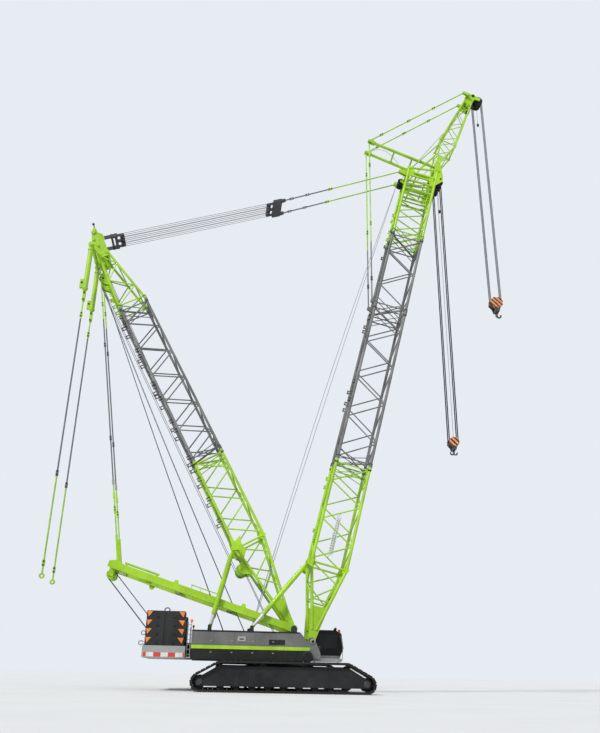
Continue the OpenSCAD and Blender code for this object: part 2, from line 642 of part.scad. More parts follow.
// A pair of lug plates for a stay, with their pin at [u, w]
module stay_lug(p, base, y, reach)
    for (q = [y - stay_eye_t / 2 - side_gap - stay_cheek_t, y + stay_eye_t / 2 + side_gap])
        side_plate([[p[0] - reach, base], [p[0] + reach, base], [p[0] + 50, p[1] + (p[1] > base ? 50 : -50)],
            [p[0] - 50, p[1] + (p[1] > base ? 50 : -50)]], q, q + stay_cheek_t);
module stay_pin(p, y, r) {
    half = stay_eye_t / 2 + side_gap + stay_cheek_t;
    across(p, y - half, y + half, r - pin_gap);
}
module boom_insert_short() color(worn_grey) along(boom_foot, boom_angle) {
    straight_section(boom_base_len + insert_long_len, boom_end, boom_half, 4, chord_r, lace_r, 1);
    lug = [boom_base_len + insert_long_len + 250, boom_half + 130];
    rod([lug[0], -boom_half, boom_half], [lug[0], boom_half, boom_half], 40);
    both_sides() {
        stay_lug(lug, boom_half - 20, strut_tip_y - stay_off, 110);
        stay_pin(lug, strut_tip_y - stay_off, stay_pin_r);
    }
}

head_u = boom_len - 510;
head_slant = 230;
head_lace_u = boom_len - 1250;
sheave_axle_r = 45;
head_plate_y = [boom_half - 5, boom_half + 25];
lug_t = 30;
rear_sheave_at = [boom_len - 960, boom_half + 150];
rear_sheave_r = 120;
rear_plate_t = 20;
module pendant_lug(y)
    side_plate([[lug_u - 170, boom_half - 90], [lug_u + 170, boom_half - 90], [lug_u + 60, lug_w + 60],
        [lug_u - 60, lug_w + 60]], y, y + lug_t);
module rear_sheave_plate(y)
    side_plate([[rear_sheave_at[0] - 170, boom_half - 90], [rear_sheave_at[0] + 130, boom_half - 90],
        [rear_sheave_at[0] + 50, rear_sheave_at[1] + 50], [rear_sheave_at[0] - 50, rear_sheave_at[1] + 50]],
        y, y + rear_plate_t);
module boom_top() color(lime) along(boom_foot, boom_angle) {
    step = [110, 0, 0, 0];
    start = [boom_end, boom_half, -boom_half, boom_half];
    head = [head_u, boom_half, -boom_half, boom_half, head_slant];
    laced = [head_lace_u, boom_half, -boom_half, boom_half];
    chords(start, head, chord_r, [0, chord_r * 0.3]);
    couplings(start, chord_r, 90);
    end_frame(start + step, lace_r);
    brace(start + step, 1, lace_r);
    lacing(start + step, laced, 5, lace_r, 0);
    end_frame(laced, lace_r * 1.3);
    end_frame(head, chord_r * 0.8);
    knee_nodes(head, chord_r);
    both_sides() {
        difference() {
            side_plate([[sheave_u - 420, -boom_half + 12], [sheave_u - 90, sheave_w - 80],
                [sheave_u + 110, sheave_w - 80], [boom_len + 90, head_pin_w - 130],
                [boom_len + 90, head_pin_w + 80], [head_u + head_slant - 60, -boom_half + 130],
                [head_u - 160, -boom_half + 100]], head_plate_y[0], head_plate_y[1]);
            across([sheave_u, sheave_w], head_plate_y[0] - 1, head_plate_y[1] + 1, sheave_axle_r);
        }
        pendant_lug(pendant_y - 25 - side_gap - lug_t);
        pendant_lug(pendant_y + 25 + side_gap);
    }
    for (y = [hoist_sheave_y[0] - 75 - rear_plate_t, hoist_sheave_y[1] + 75]) rear_sheave_plate(y);
    across([boom_len, head_pin_w], -head_plate_y[1], head_plate_y[1], foot_pin_r - pin_gap);
    for (u = [lug_u, rear_sheave_at[0] - 60])
        rod([u, -boom_half, boom_half - 75], [u, boom_half, boom_half - 75], 44);
    for (u = [sheave_u - 420, sheave_u + 230])
        rod([u, -boom_half, -boom_half], [u, boom_half, -boom_half], 34);
}
hoist_sheave_y = [-130, 130];
head_sheave_y = [-330, -60, 60, 330];
module boom_sheaves() color(black) along(boom_foot, boom_angle) {
    across([sheave_u, sheave_w], -head_plate_y[1], head_plate_y[1], sheave_axle_r);
    for (y = head_sheave_y) sheave([sheave_u, sheave_w], y, sheave_r, 90, rope_r);
    across(rear_sheave_at, hoist_sheave_y[0] - 75, hoist_sheave_y[1] + 75, 35);
    for (y = hoist_sheave_y) sheave(rear_sheave_at, y, rear_sheave_r, 90, rope_r);
}

jib_half = 330;
module jib() color(lime) {
    along(jib_foot, jib_angle) {
        foot = [170, 500, -45, 45];
        knee = [1400, 430, -jib_half, jib_half];
        tip = [jib_len - 250, 260, -150, 150];
        chords(foot, knee, 34, [0, 10]);
        chords(knee, tip, 34, [10, 0]);
        knee_nodes(knee, 34);
        lacing(between(foot, knee, 0.36), knee, 2, 16, 0);
        lacing(knee, tip, 6, 16, 0);
        end_frame(knee, 20);
        end_frame(tip, 24);
        both_sides() difference() {
            union() {
                across([0, 0], 455, 545, 80);
                side_plate([[0, -60], [500, -110], [500, 110], [0, 60]], 485, 515);
            }
            across([0, 0], 450, 550, foot_pin_r);
        }
        both_sides() side_plate([[jib_len - 500, -170], [jib_len + 40, -200], [jib_len + 120, -60],
            [jib_len + 60, 200], [jib_len - 420, 190]], jib_plate_y[0], jib_plate_y[1]);
        across([jib_len - 100, 100], -440, 440, 50);
        both_sides() {
            stay_lug([jib_len - 100, jib_stay_w], 100, strut_tip_y + stay_off, 70);
            stay_pin([jib_len - 100, jib_stay_w], strut_tip_y + stay_off, stay_pin_r);
        }
    }
    across(aux_sheave_at, -jib_plate_y[1], jib_plate_y[1], 45);
    both_sides() {
        across(aux_sheave_at, jib_plate_y[0], jib_plate_y[1], 80);
        side_plate([[jib_tip[0] - 60, jib_tip[1] - 120], [aux_sheave_at[0], aux_sheave_at[1] - 72],
            [aux_sheave_at[0] + 20, aux_sheave_at[1] + 70], [jib_tip[0] + 70, jib_tip[1] + 90]],
            jib_plate_y[0], jib_plate_y[1]);
    }
}
jib_plate_y = [240, 280];
module jib_sheaves() color(black)
    for (y = [-150, 0, 150]) difference() {
        sheave(aux_sheave_at, y, aux_sheave_r, 90, rope_r);
        across(aux_sheave_at, y - 61, y + 61, 45);
    }

strut_foot_y = 380;
strut_tip_y = 350;
strut_fork = 150;
strut_head_y = 75;
// Offset of the two stays that share the strut's pin
stay_off = 27;
stay_pin_r = 30;
stay_eye_t = 40;
stay_cheek_t = 20;
stay_r = 24;
module jib_strut() color(lime) along(jib_foot, strut_dir) {
    both_sides() difference() {
        union() {
            across([0, 0], strut_foot_y - 50, strut_foot_y + 50, 80);
            rod([0, strut_foot_y, 0], [strut_len - strut_fork, strut_tip_y, 0], 58);
        }
        across([0, 0], strut_foot_y - 60, strut_foot_y + 60, foot_pin_r);
    }
    both_sides() for (y = [strut_tip_y - strut_head_y, strut_tip_y + strut_head_y - 20])
        side_plate([[strut_len - strut_fork - 90, -55], [strut_len + 45, -55], [strut_len + 45, 55],
            [strut_len - strut_fork - 90, 55]], y, y + 20);
    both_sides() across([strut_len - strut_fork, 0], strut_tip_y - strut_head_y, strut_tip_y + strut_head_y, 70);
    both_sides() across([strut_len, 0], strut_tip_y - strut_head_y, strut_tip_y + strut_head_y, stay_pin_r - pin_gap);
    for (t = [0.35, 0.62])
        rod([strut_len * t, -strut_foot_y, 0], [strut_len * t, strut_foot_y, 0], 34);
}

// The knuckles that join a stay's bars, at distances u along it
module knuckles(places, y, r)
    for (u = places) {
        block([u - r * 3.4, u + r * 3.4], [y - r * 1.25, y + r * 1.25], [-r * 1.5, r * 1.5]);
        for (d = [-r * 2, r * 2]) across([u + d, 0], y - r * 1.9, y + r * 1.9, r * 0.8);
    }
// A stay of round bar with an eye at each end, as [eye radius, pin radius], and its knuckles
module stay(a, b, y, r, eye_a, eye_b, joints = [])
    difference() {
        union() {
            rod([a[0], y, a[1]], [b[0], y, b[1]], r);
            along(a, heading(a, b)) knuckles(joints, y, r);
            across(a, y - stay_eye_t / 2, y + stay_eye_t / 2, eye_a[0]);
            across(b, y - stay_eye_t / 2, y + stay_eye_t / 2, eye_b[0]);
        }
        across(a, y - stay_eye_t, y + stay_eye_t, eye_a[1]);
        across(b, y - stay_eye_t, y + stay_eye_t, eye_b[1]);
    }
back_stay_foot = place(boom_foot, boom_angle, boom_base_len + insert_long_len + 250, boom_half + 130);
jib_stay_w = 330;
jib_stay_pin = place(jib_foot, jib_angle, jib_len - 100, jib_stay_w);
small_eye = [60, stay_pin_r];
module jib_stays() color(lime)
    both_sides() {
        stay(strut_tip, jib_stay_pin, strut_tip_y + stay_off, stay_r, small_eye, small_eye, [620, 2050, 3400]);
        stay(strut_tip, back_stay_foot, strut_tip_y - stay_off, stay_r, small_eye, small_eye, [1150, 3900, 6300]);
    }

mast_web_len = 950;
module mast_base() color(lime) along(mast_foot, mast_dir) {
    foot = [300, mast_y, -54, 54];
    knee = [mast_knee, mast_half, -mast_half, mast_half];
    chords(foot, knee, mast_chord_r, [0, mast_chord_r * 0.3]);
    knee_nodes(knee, mast_chord_r);
    both_sides() difference() {
        union() {
            across([0, 0], mast_leg[0], mast_leg[1], 100);
            side_plate([[0, -95], [mast_web_len, -165], [mast_web_len, 165], [0, 95]], mast_leg[0] + 30, mast_leg[1] - 30);
        }
        across([0, 0], mast_leg[0] - 1, mast_leg[1] + 1, foot_pin_r);
    }
    lacing(between(foot, knee, 0.4), knee, 3, lace_r, 1);
    straight_section(mast_knee, mast_base_len, mast_half, 5, mast_chord_r, lace_r, 1, [false, true]);
    end_frame(knee, lace_r * 1.4);
    stop_lug(mast_stop_lug, mast_half);
    both_sides() difference() {
        side_plate([[1980, 300], [2520, 390], [2400, 640], [2310, 680], [2190, 680], [2120, 640]],
            mast_winch_y[0], mast_winch_y[1]);
        across(mast_winch_at, mast_winch_y[0] - 1, mast_winch_y[1] + 1, mast_winch_r);
    }
    both_sides() side_plate([[mast_knee - 260, mast_half - 60], [mast_knee + 260, mast_half - 60],
        [mast_knee + 120, mast_half + 90], [mast_knee - 120, mast_half + 90]], mast_half - 20, mast_half + 20);
}
mast_stop_lug = [mast_knee, mast_half + 120];
mast_winch_at = [2250, 600];
mast_winch_r = 45;
mast_winch_y = [412, 440];
module mast_insert() color(worn_grey) along(mast_foot, mast_dir)
    straight_section(mast_base_len, mast_base_len + mast_insert_len, mast_half, 11, mast_chord_r, lace_r, 0);
mast_head_u = mast_len - 1150;
mast_head_y = 465;
head_plate_t = 40;
stay_tube_w = 300;
// Plates that close the mast head's front between its side plates, as [start, end, depth]
mast_face_plates = [[50, 300, -48], [335, 480, -62], [910, 1130, 10]];
link_pin_r = 50;
ballast_pin_r = 60;
module mast_top() color(lime) {
    along(mast_foot, mast_dir) {
        start = [mast_base_len + mast_insert_len, mast_half, -mast_half, mast_half];
        head = [mast_head_u, mast_head_y, -10, 330];
        step = [110, 0, 0, 0];
        chords(start, head, mast_chord_r, [mast_chord_r * 0.3, mast_chord_r * 0.3]);
        couplings(start, mast_chord_r, 90);
        end_frame(start + step, lace_r);
        brace(start + step * 1.4, 1, lace_r);
        lacing(between(start, head, 0.05), head, 4, lace_r, 0);
        knee_nodes(head, mast_chord_r);
        end_frame(head, mast_chord_r * 0.8);
        both_sides() {
            side_plate([[mast_head_u - 110, -55], [mast_head_u - 110, 350], [mast_head_u + 140, 350],
                [mast_head_u + 220, 495], [mast_head_u + 390, 495], [mast_head_u + 540, 345],
                [mast_head_u + 760, 290], [mast_head_u + 960, 205], [mast_len, 75], [mast_len, 5],
                [mast_len - 250, 5], [mast_len - 390, -120], [mast_len - 570, -120], [mast_len - 740, -35]],
                mast_head_y - 21, mast_head_y - 21 + head_plate_t);
            stay_lug(stay_head_lug, stay_tube_w - 15, gantry_stay_y, 100);
            stay_pin(stay_head_lug, gantry_stay_y, gantry_pin_r);
        }
        for (p = [[mast_len - 230, 105], [mast_len - 1000, 200]]) across(p, -mast_head_y, mast_head_y, 60);
        rod([stay_head_lug[0] - 20, -mast_head_y, stay_tube_w], [stay_head_lug[0] - 20, mast_head_y, stay_tube_w], 45);
        for (f = mast_face_plates)
            block([mast_head_u + f[0], mast_head_u + f[1]], [-mast_head_y, mast_head_y], [f[2], f[2] + 24]);
    }
    across(link_pin_at, -mast_head_y - 15, mast_head_y + 15, link_pin_r - pin_gap);
    across(ballast_pin_at, -ballast_y - 90, ballast_y + 90, ballast_pin_r - pin_gap);
}
// The luffing winch hangs behind the mast's base between two plates
module mast_winch() color(worn_grey) along(mast_foot, mast_dir) {
    across(mast_winch_at, -mast_winch_y[1], mast_winch_y[1], mast_winch_r - pin_gap);
    drum(mast_winch_at, mast_winch_y[0] - 30, 130, 175, 20);
}

// Side view of an A-frame beam: it narrows to its foot and rises to a nose at its head
gantry_outline = [[0, -110], [500, -gantry_beam_h / 2], [gantry_len - 400, -gantry_beam_h / 2],
    [gantry_len - 250, -gantry_beam_h / 2 - 45], [gantry_len - 120, -gantry_beam_h / 2 - 45],
    [gantry_len + 40, -gantry_beam_h / 2 + 20], [gantry_len + 30, gantry_beam_h / 2 - 15],
    [gantry_len - 60, gantry_beam_h / 2], [500, gantry_beam_h / 2], [0, 110]];
gantry_head_w = gantry_beam_h / 2 + 150;
gantry_tube_u = [gantry_len - 1500, gantry_len - 420];
gantry_tube_w = -gantry_beam_h / 2 - 62;
module gantry() color(lime) {
    along(mast_foot, gantry_dir) {
        both_sides() difference() {
            union() {
                across([0, 0], gantry_leg[0], gantry_leg[1], 110);
                side_plate(gantry_outline, gantry_leg[0], gantry_leg[1]);
            }
            across([0, 0], gantry_leg[0] - 1, gantry_leg[1] + 1, foot_pin_r);
        }
        for (u = [1900, 3600])
            block([u, u + 160], [-gantry_y, gantry_y], [-gantry_beam_h / 2 + 30, gantry_beam_h / 2 - 30]);
        both_sides() stay_lug(gantry_stay_lug, gantry_beam_h / 2 - 40, gantry_stay_y, 110);
        block([gantry_len - 420, gantry_len - 60], [-gantry_y, gantry_y], [gantry_beam_h / 2 - 50, gantry_beam_h / 2 - 10]);
        both_sides() for (y = gantry_rope_y) block([gantry_len - 190, gantry_len - 10], [y + 45, y + 65],
            [gantry_beam_h / 2 - 40, gantry_head_w + 50]);
        across([gantry_len - 100, gantry_head_w], -gantry_rope_y[1] - 65, gantry_rope_y[1] + 65, 30);
        both_sides() for (y = gantry_rope_y)
            sheave([gantry_len - 100, gantry_head_w], y, gantry_sheave_r, 70, luff_rope_r);
        both_sides() {
            rod([gantry_tube_u[0], gantry_y, gantry_tube_w], [gantry_tube_u[1], gantry_y, gantry_tube_w], 32);
            for (u = [gantry_tube_u[0] + 40, gantry_tube_u[1] - 90])
                block([u, u + 50], [gantry_y - 25, gantry_y + 25], [gantry_tube_w, -gantry_beam_h / 2 + 20]);
        }
    }
    both_sides() stay_pin(gantry_stay_pin, gantry_stay_y, gantry_pin_r);
}
gantry_rope_y = [110, 330];
gantry_sheave_r = 120;
knuckle_step = mast_len / 308; // the stays that hang from the mast are jointed at whole steps
gantry_stay_r = 22;
gantry_pin_r = 35;

module gantry_stays() color(worn_grey)
    both_sides() stay(gantry_stay_top, gantry_stay_pin, gantry_stay_y, gantry_stay_r, [60, gantry_pin_r], [60, gantry_pin_r],
        [for (n = [11, 31, 62, 128, 174]) n * knuckle_step]);

gantry_rope_foot = [-frame_rear + 450, frame_z0 + deck_t + 260];
gantry_rope_head = place(mast_foot, gantry_dir, gantry_len - 100, gantry_head_w);
gantry_rope_dir = heading(gantry_rope_head, gantry_rope_foot);
gantry_rope_len = norm([gantry_rope_head[0] - gantry_rope_foot[0], gantry_rope_head[1] - gantry_rope_foot[1]]);
luff_rope_r = 9;
gantry_rope_off = gantry_sheave_r + luff_rope_r + seat_gap;
module gantry_ropes() color(black) along(gantry_rope_head, gantry_rope_dir)
    both_sides() for (y = gantry_rope_y)
        for (s = [-1, 1]) rod([0, y, s * gantry_rope_off], [gantry_rope_len, y, s * gantry_rope_off], luff_rope_r, lace_sides);

// Telescoping stops between the superstructure and a lattice member
tube_r = 70;
stop_rod_r = 45;
stop_neck_r = 40;
stop_eye_r = 75;
tube_start = 210;
module stop_tube(from, to, len)
    along(from, heading(from, to)) translate([0, stop_y, 0]) difference() {
        union() {
            across([0, 0], -50, 50, stop_eye_r);
            rod([0, 0, 0], [tube_start + 20, 0, 0], stop_neck_r);
            rod([tube_start, 0, 0], [len, 0, 0], tube_r);
        }
        across([0, 0], -51, 51, stop_pin_r);
        rod([tube_start + 60, 0, 0], [len + 1, 0, 0], stop_rod_r + rod_gap);
    }
// The rod's eye fills its fork from cheek to cheek
module stop_rod(from, to, len)
    along(to, heading(to, from)) translate([0, stop_y, 0]) {
        across([0, 0], -50 - side_gap + seat_gap, 50 + side_gap - seat_gap, 60);
        rod([0, 0, 0], [len, 0, 0], stop_rod_r);
    }
boom_stop_top = place(boom_foot, boom_angle, boom_stop_lug[0], boom_stop_lug[1]);
mast_stop_top = place(mast_foot, mast_dir, mast_stop_lug[0], mast_stop_lug[1]);
module boom_stop_tubes() color(lime) both_sides() stop_tube(boom_stop_top, boom_stop_foot, 2020);
module boom_stop_rods() color(steel) both_sides() stop_rod(boom_stop_top, boom_stop_foot, 1480);
module mast_stop_tubes() color(lime) both_sides() stop_tube(mast_stop_top, mast_stop_foot, 1950);
module mast_stop_rods() color(steel) both_sides() stop_rod(mast_stop_top, mast_stop_foot, 1020);

// Luffing tackle between the mast's head and the boom's head, which hangs through at its pin
tackle_line = heading(link_pin_at, pendant_lug_at);
float_pin_off = 6900;
float_sag = 140;
float_pin_at = place(link_pin_at, tackle_line, float_pin_off, -float_sag);
tackle_dir = heading(link_pin_at, float_pin_at);
float_pin_u = norm([float_pin_at[0] - link_pin_at[0], float_pin_at[1] - link_pin_at[1]]);
pendant_dir = heading(float_pin_at, pendant_lug_at);
pendant_len = norm([pendant_lug_at[0] - float_pin_at[0], pendant_lug_at[1] - float_pin_at[1]]);
link_len = 340;
link_y = 380;
link_eye_r = 85;
block_pin_r = 40;
module tackle_links() color(lime) along(link_pin_at, tackle_dir)
    both_sides() difference() {
        union() {
            for (u = [0, link_len]) across([u, 0], link_y - 25, link_y + 25, link_eye_r);
            side_plate([[0, -62], [link_len, -62], [link_len, 62], [0, 62]], link_y - 25, link_y + 25);
        }
        across([0, 0], link_y - 26, link_y + 26, link_pin_r);
        across([link_len, 0], link_y - 26, link_y + 26, block_pin_r);
    }
block_sheave_r = 75;
block_y = 425;
sheave_plate_y = 365;
module mast_block() color(mid_grey) along(link_pin_at, tackle_dir) {
    across([link_len, 0], -block_y, block_y, block_pin_r - pin_gap);
    both_sides() side_plate([[link_len - 45, -45], [link_len + 200, -75], [link_len + 200, 75], [link_len - 45, 45]],
        block_y - 18, block_y);
    both_sides() side_plate([[link_len - 45, -45], [link_len + 200, -75], [link_len + 200, 75], [link_len - 45, 45]],
        link_y - 52, link_y - 32);
    block([link_len + 95, link_len + 190], [-block_y + 9, block_y - 9], [-60, 60]);
    for (y = [-20, 20, -sheave_plate_y, sheave_plate_y])
        side_plate([[link_len + 120, -55], [block_u + 60, -55], [block_u + 60, 55], [link_len + 120, 55]], y - 8, y + 8);
    across([block_u, 0], -sheave_plate_y - 20, sheave_plate_y + 20, 40);
    both_sides() for (y = luff_rope_y) sheave([block_u, 0], y, block_sheave_r, 60, luff_rope_r);
}
block_u = link_len + 370;
rope_off = block_sheave_r + luff_rope_r + seat_gap;
luff_rope_y = [80, 190, 300];
module luff_ropes() color(black) along(link_pin_at, tackle_dir)
    both_sides() for (y = luff_rope_y, s = [-1, 1])
        rod([block_u, y, s * rope_off], [float_u, y, s * rope_off], luff_rope_r, lace_sides);
float_u = float_pin_u - 610;
float_box = [float_pin_u - 430, float_pin_u - 95];
float_y = 510;
module floating_block() color(mid_grey) along(link_pin_at, tackle_dir) {
    across([float_u, 0], -sheave_plate_y - 20, sheave_plate_y + 20, 40);
    both_sides() for (y = luff_rope_y) sheave([float_u, 0], y, block_sheave_r, 60, luff_rope_r);
    for (y = [-20, 20, -sheave_plate_y, sheave_plate_y])
        side_plate([[float_u - 60, -55], [float_box[0] + 60, -48], [float_box[0] + 60, 48], [float_u - 60, 55]], y - 8, y + 8);
    block(float_box, [-float_y, float_y], [-52, 52]);
    both_sides() {
        for (y = [pendant_y - 25 - side_gap - lug_t, pendant_y + 25 + side_gap])
            side_plate([[float_box[1] - 60, -50], [float_pin_u + 45, -42], [float_pin_u + 45, 42], [float_box[1] - 60, 50]],
                y, y + lug_t);
        across([float_pin_u, 0], pendant_y - 25 - side_gap - lug_t, pendant_y + 25 + side_gap + lug_t, block_pin_r - pin_gap);
    }
}
// The pendants' upper eyes fill their lugs from cheek to cheek
pendant_eye_r = 65;
module boom_pendants() color(lime) along(float_pin_at, pendant_dir)
    both_sides() {
        difference() {
            union() {
                rod([0, pendant_y, 0], [pendant_len, pendant_y, 0], stay_r);
                knuckles([300, 950, 1900], pendant_y, stay_r);
                across([0, 0], pendant_y - 25, pendant_y + 25, pendant_eye_r);
            }
            across([0, 0], pendant_y - 26, pendant_y + 26, block_pin_r);
        }
        across([pendant_len, 0], pendant_y - 25 - side_gap + seat_gap, pendant_y + 25 + side_gap - seat_gap, 60);
    }

ballast_eye_r = 35;
ballast_eye_t = 60;
stay_head_len = 150;
stay_tube_len = 1650;
module ballast_stays() color(lime)
    both_sides() difference() {
        union() {
            across(ballast_pin_at, ballast_y - 40, ballast_y + 40, 110);
            stay_length(0, stay_head_len, 35);
            stay_length(stay_head_len, stay_head_len + stay_tube_len, 84);
            stay_length(stay_head_len + stay_tube_len, ballast_pin_at[1] - ballast_eye_z, 26);
            along(ballast_pin_at, -90) {
                block([stay_head_len + stay_tube_len - 380, stay_head_len + stay_tube_len - 60],
                    [ballast_y - 55, ballast_y + 55], [-190, -40]);
                knuckles(concat([stay_head_len + stay_tube_len + 250], [for (n = [55, 164, 218]) n * knuckle_step]), ballast_y, 26);
            }
            across([ballast_pin_at[0], ballast_eye_z], ballast_y - ballast_eye_t / 2, ballast_y + ballast_eye_t / 2, 80);
        }
        across(ballast_pin_at, ballast_y - 41, ballast_y + 41, ballast_pin_r);
        across([ballast_pin_at[0], ballast_eye_z], ballast_y - ballast_eye_t / 2 - 1, ballast_y + ballast_eye_t / 2 + 1,
            ballast_eye_r);
    }
// A length of a ballast stay, from one drop below its pin to another
module stay_length(d0, d1, r)
    rod([ballast_pin_at[0], ballast_y, ballast_pin_at[1] - d1], [ballast_pin_at[0], ballast_y, ballast_pin_at[1] - d0], r);

rope_r = 13;
main_rope_y = [-60, 60];
aux_rope_y = [0];
// The falls hang beside their sheaves' rims
module falls(p, z, r, ys)
    for (y = ys, s = [-1, 1])
        rod([p[0] + s * (r + rope_r + seat_gap), y, z], [p[0] + s * (r + rope_r + seat_gap), y, p[1]], rope_r, lace_sides);
module main_falls() color(black) falls(main_sheave_at, main_hook_z, sheave_r, main_rope_y);
module aux_falls() color(black) falls(aux_sheave_at, aux_hook_z, aux_sheave_r, aux_rope_y);

// A hook block: sheaves between cheeks, a yoke, a shank and a hook, all in parts of the sheave's radius
hook_bowl = 2.62;
hook_ring = 0.42;
hook_wire = 0.17;
module hook(p, z, r, ys, half, prongs) {
    across([p[0], z], -half - 22, half + 22, r * 0.24);
    for (y = ys) sheave([p[0], z], y, r, 80, rope_r);
    for (s = [-1, 1]) {
        side_plate([[p[0] - r * 0.62, z - r * 1.15], [p[0] + r * 0.62, z - r * 1.15], [p[0] + r * 1.22, z - r * 0.4],
            [p[0] + r * 1.22, z + r * 0.45], [p[0] + r * 0.62, z + r * 1.15], [p[0] - r * 0.62, z + r * 1.15],
            [p[0] - r * 1.22, z + r * 0.45], [p[0] - r * 1.22, z - r * 0.4]], s * half - 12, s * half + 12);
        side_plate([[p[0] - r * 0.4, z - r * 2], [p[0] + r * 0.4, z - r * 2], [p[0] + r * 0.7, z - r * 0.9],
            [p[0] - r * 0.7, z - r * 0.9]], s * (half - 20) - 12, s * (half - 20) + 12);
    }
    across([p[0], z - r * 1.65], -half, half, r * 0.3);
    block([p[0] - r * 0.34, p[0] + r * 0.34], [-r * 0.5, r * 0.5], [z - r * 2, z - r * 1.3]);
    translate([p[0], 0, z - r * hook_bowl]) {
        translate([0, 0, -r * 0.2]) cylinder(h = r * 1.1, r = r * 0.25, $fn = round_sides);
        for (s = prongs) scale_x(s) translate([r * hook_ring, 0, 0]) rotate([90, 0, 0])
            rotate([0, 0, 190]) rotate_extrude(angle = 195, $fn = round_sides)
                translate([r * hook_ring, 0]) circle(r = r * hook_wire, $fn = round_sides);
    }
}
module scale_x(s) if (s > 0) children(); else mirror([1, 0, 0]) children();
module main_hook() color(orange) hook(main_sheave_at, main_hook_z, sheave_r, main_rope_y, 150, [-1, 1]);
module aux_hook() color(orange) hook(aux_sheave_at, aux_hook_z, aux_sheave_r, aux_rope_y, 130, [1]);

module track_right() translate([0, -gauge / 2, 0]) track();
module track_left() translate([0, gauge / 2, 0]) track();
module crawler_frame_right() translate([0, -gauge / 2, 0]) crawler_frame();
module crawler_frame_left() translate([0, gauge / 2, 0]) crawler_frame();

carbody();
crawler_frame_right();
crawler_frame_left();
track_right();
track_left();
rollers();
carbody_weights();
turntable();
main_frame();
housing_right();
housing_left();
engine();
winches();
cab_platform();
cab_shell();
cab_glass();
cab_seat();
cab_door();
counterweight_tray();
slabs_right();
slabs_left();
boom_base();
boom_insert_long();
boom_insert_short();
boom_top();
boom_sheaves();
jib();
jib_sheaves();
jib_strut();
jib_stays();
mast_base();
mast_insert();
mast_top();
mast_winch();
gantry();
gantry_stays();
gantry_ropes();
boom_stop_tubes();
boom_stop_rods();
mast_stop_tubes();
mast_stop_rods();
tackle_links();
mast_block();
luff_ropes();
floating_block();
boom_pendants();
ballast_stays();
main_falls();
main_hook();
aux_falls();
aux_hook();
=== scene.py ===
"""Looks of the crawler crane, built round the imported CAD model. Lengths are in metres."""
import math

import bmesh
import bpy
from mathutils import Matrix, Vector


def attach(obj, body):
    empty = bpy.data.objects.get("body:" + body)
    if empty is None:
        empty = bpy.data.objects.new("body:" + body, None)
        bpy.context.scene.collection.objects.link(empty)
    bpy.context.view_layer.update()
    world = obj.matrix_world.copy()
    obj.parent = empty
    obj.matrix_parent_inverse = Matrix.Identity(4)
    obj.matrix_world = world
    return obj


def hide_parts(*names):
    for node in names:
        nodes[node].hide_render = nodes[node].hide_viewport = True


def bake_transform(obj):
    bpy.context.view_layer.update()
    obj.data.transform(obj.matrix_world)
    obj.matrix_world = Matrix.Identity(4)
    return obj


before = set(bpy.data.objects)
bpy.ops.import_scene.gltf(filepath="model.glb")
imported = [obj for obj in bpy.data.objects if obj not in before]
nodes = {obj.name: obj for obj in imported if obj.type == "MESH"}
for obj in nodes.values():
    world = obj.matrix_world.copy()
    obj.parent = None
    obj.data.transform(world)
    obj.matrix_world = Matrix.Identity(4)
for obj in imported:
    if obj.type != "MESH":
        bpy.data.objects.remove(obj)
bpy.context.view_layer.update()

# Camera, as measured from the photograph
scene = bpy.context.scene
cam_data = bpy.data.cameras.new("camera")
cam = bpy.data.objects.new("camera", cam_data)
scene.collection.objects.link(cam)
right = Vector((0.993099, -0.115789, 0.018645))
up = -Vector((0.062047, 0.383811, -0.921325))
back = -Vector((0.099523, 0.916123, 0.388347))
turn = Matrix((right, up, back)).transposed()
cam.matrix_world = Matrix.Translation((-2.0705, -23.457, 0.5)) @ turn.to_4x4()
cam_data.sensor_fit = "AUTO"
cam_data.sensor_width = 36.0
cam_data.lens = 36.0 * 729.0 / 733.0
cam_data.clip_start = 0.1
cam_data.clip_end = 400.0
scene.camera = cam

# Places of the members, repeated from the source
BOOM_FOOT, BOOM_A = (0.920, 1.405), 76.4
MAST_FOOT, MAST_A = (0.375, 1.725), 119.0
GANTRY_A = 163.0
BOOM_LEN, BOOM_HALF = 18.5, 0.56
BASE_END, LONG_END, SHORT_END = 5.65, 11.6, 14.85
BOOM_KNEE, MAST_KNEE = 2.25, 2.888
MAST_LEN, MAST_HALF = 15.4, 0.475
MAST_BASE_END, MAST_INSERT_END = 5.97, 12.0
HEAD_U = 17.99
MAST_TOP_HALF, MAST_TAPER = 0.33, 2.25  # the mast's top narrows to this half width over this length
JIB_A, STRUT_A = 66.0, 158.6

# Hook blocks: height of the sheave pin, radius of the sheaves and half the block's width
MAIN_HOOK_Z, MAIN_HOOK_R, MAIN_HOOK_HALF = 7.94, 0.14, 0.15
AUX_HOOK_Z, AUX_HOOK_R, AUX_HOOK_HALF = 13.5, 0.19, 0.13


def place(p, a, u, w):
    c, s = math.cos(math.radians(a)), math.sin(math.radians(a))
    return (p[0] + u * c - w * s, p[1] + u * s + w * c)


def heading(a, b):
    return math.degrees(math.atan2(b[1] - a[1], b[0] - a[0]))


class Line:
    """A member's own frame: u along it, y across the crane, w to its upper or rear side."""

    def __init__(self, p, a):
        self.p, self.a = p, a
        c, s = math.cos(math.radians(a)), math.sin(math.radians(a))
        self.m = Matrix(((c, 0, -s, p[0]), (0, 1, 0, 0), (s, 0, c, p[1]), (0, 0, 0, 1)))

    def __call__(self, u, y, w):
        return self.m @ Vector((u, y, w))


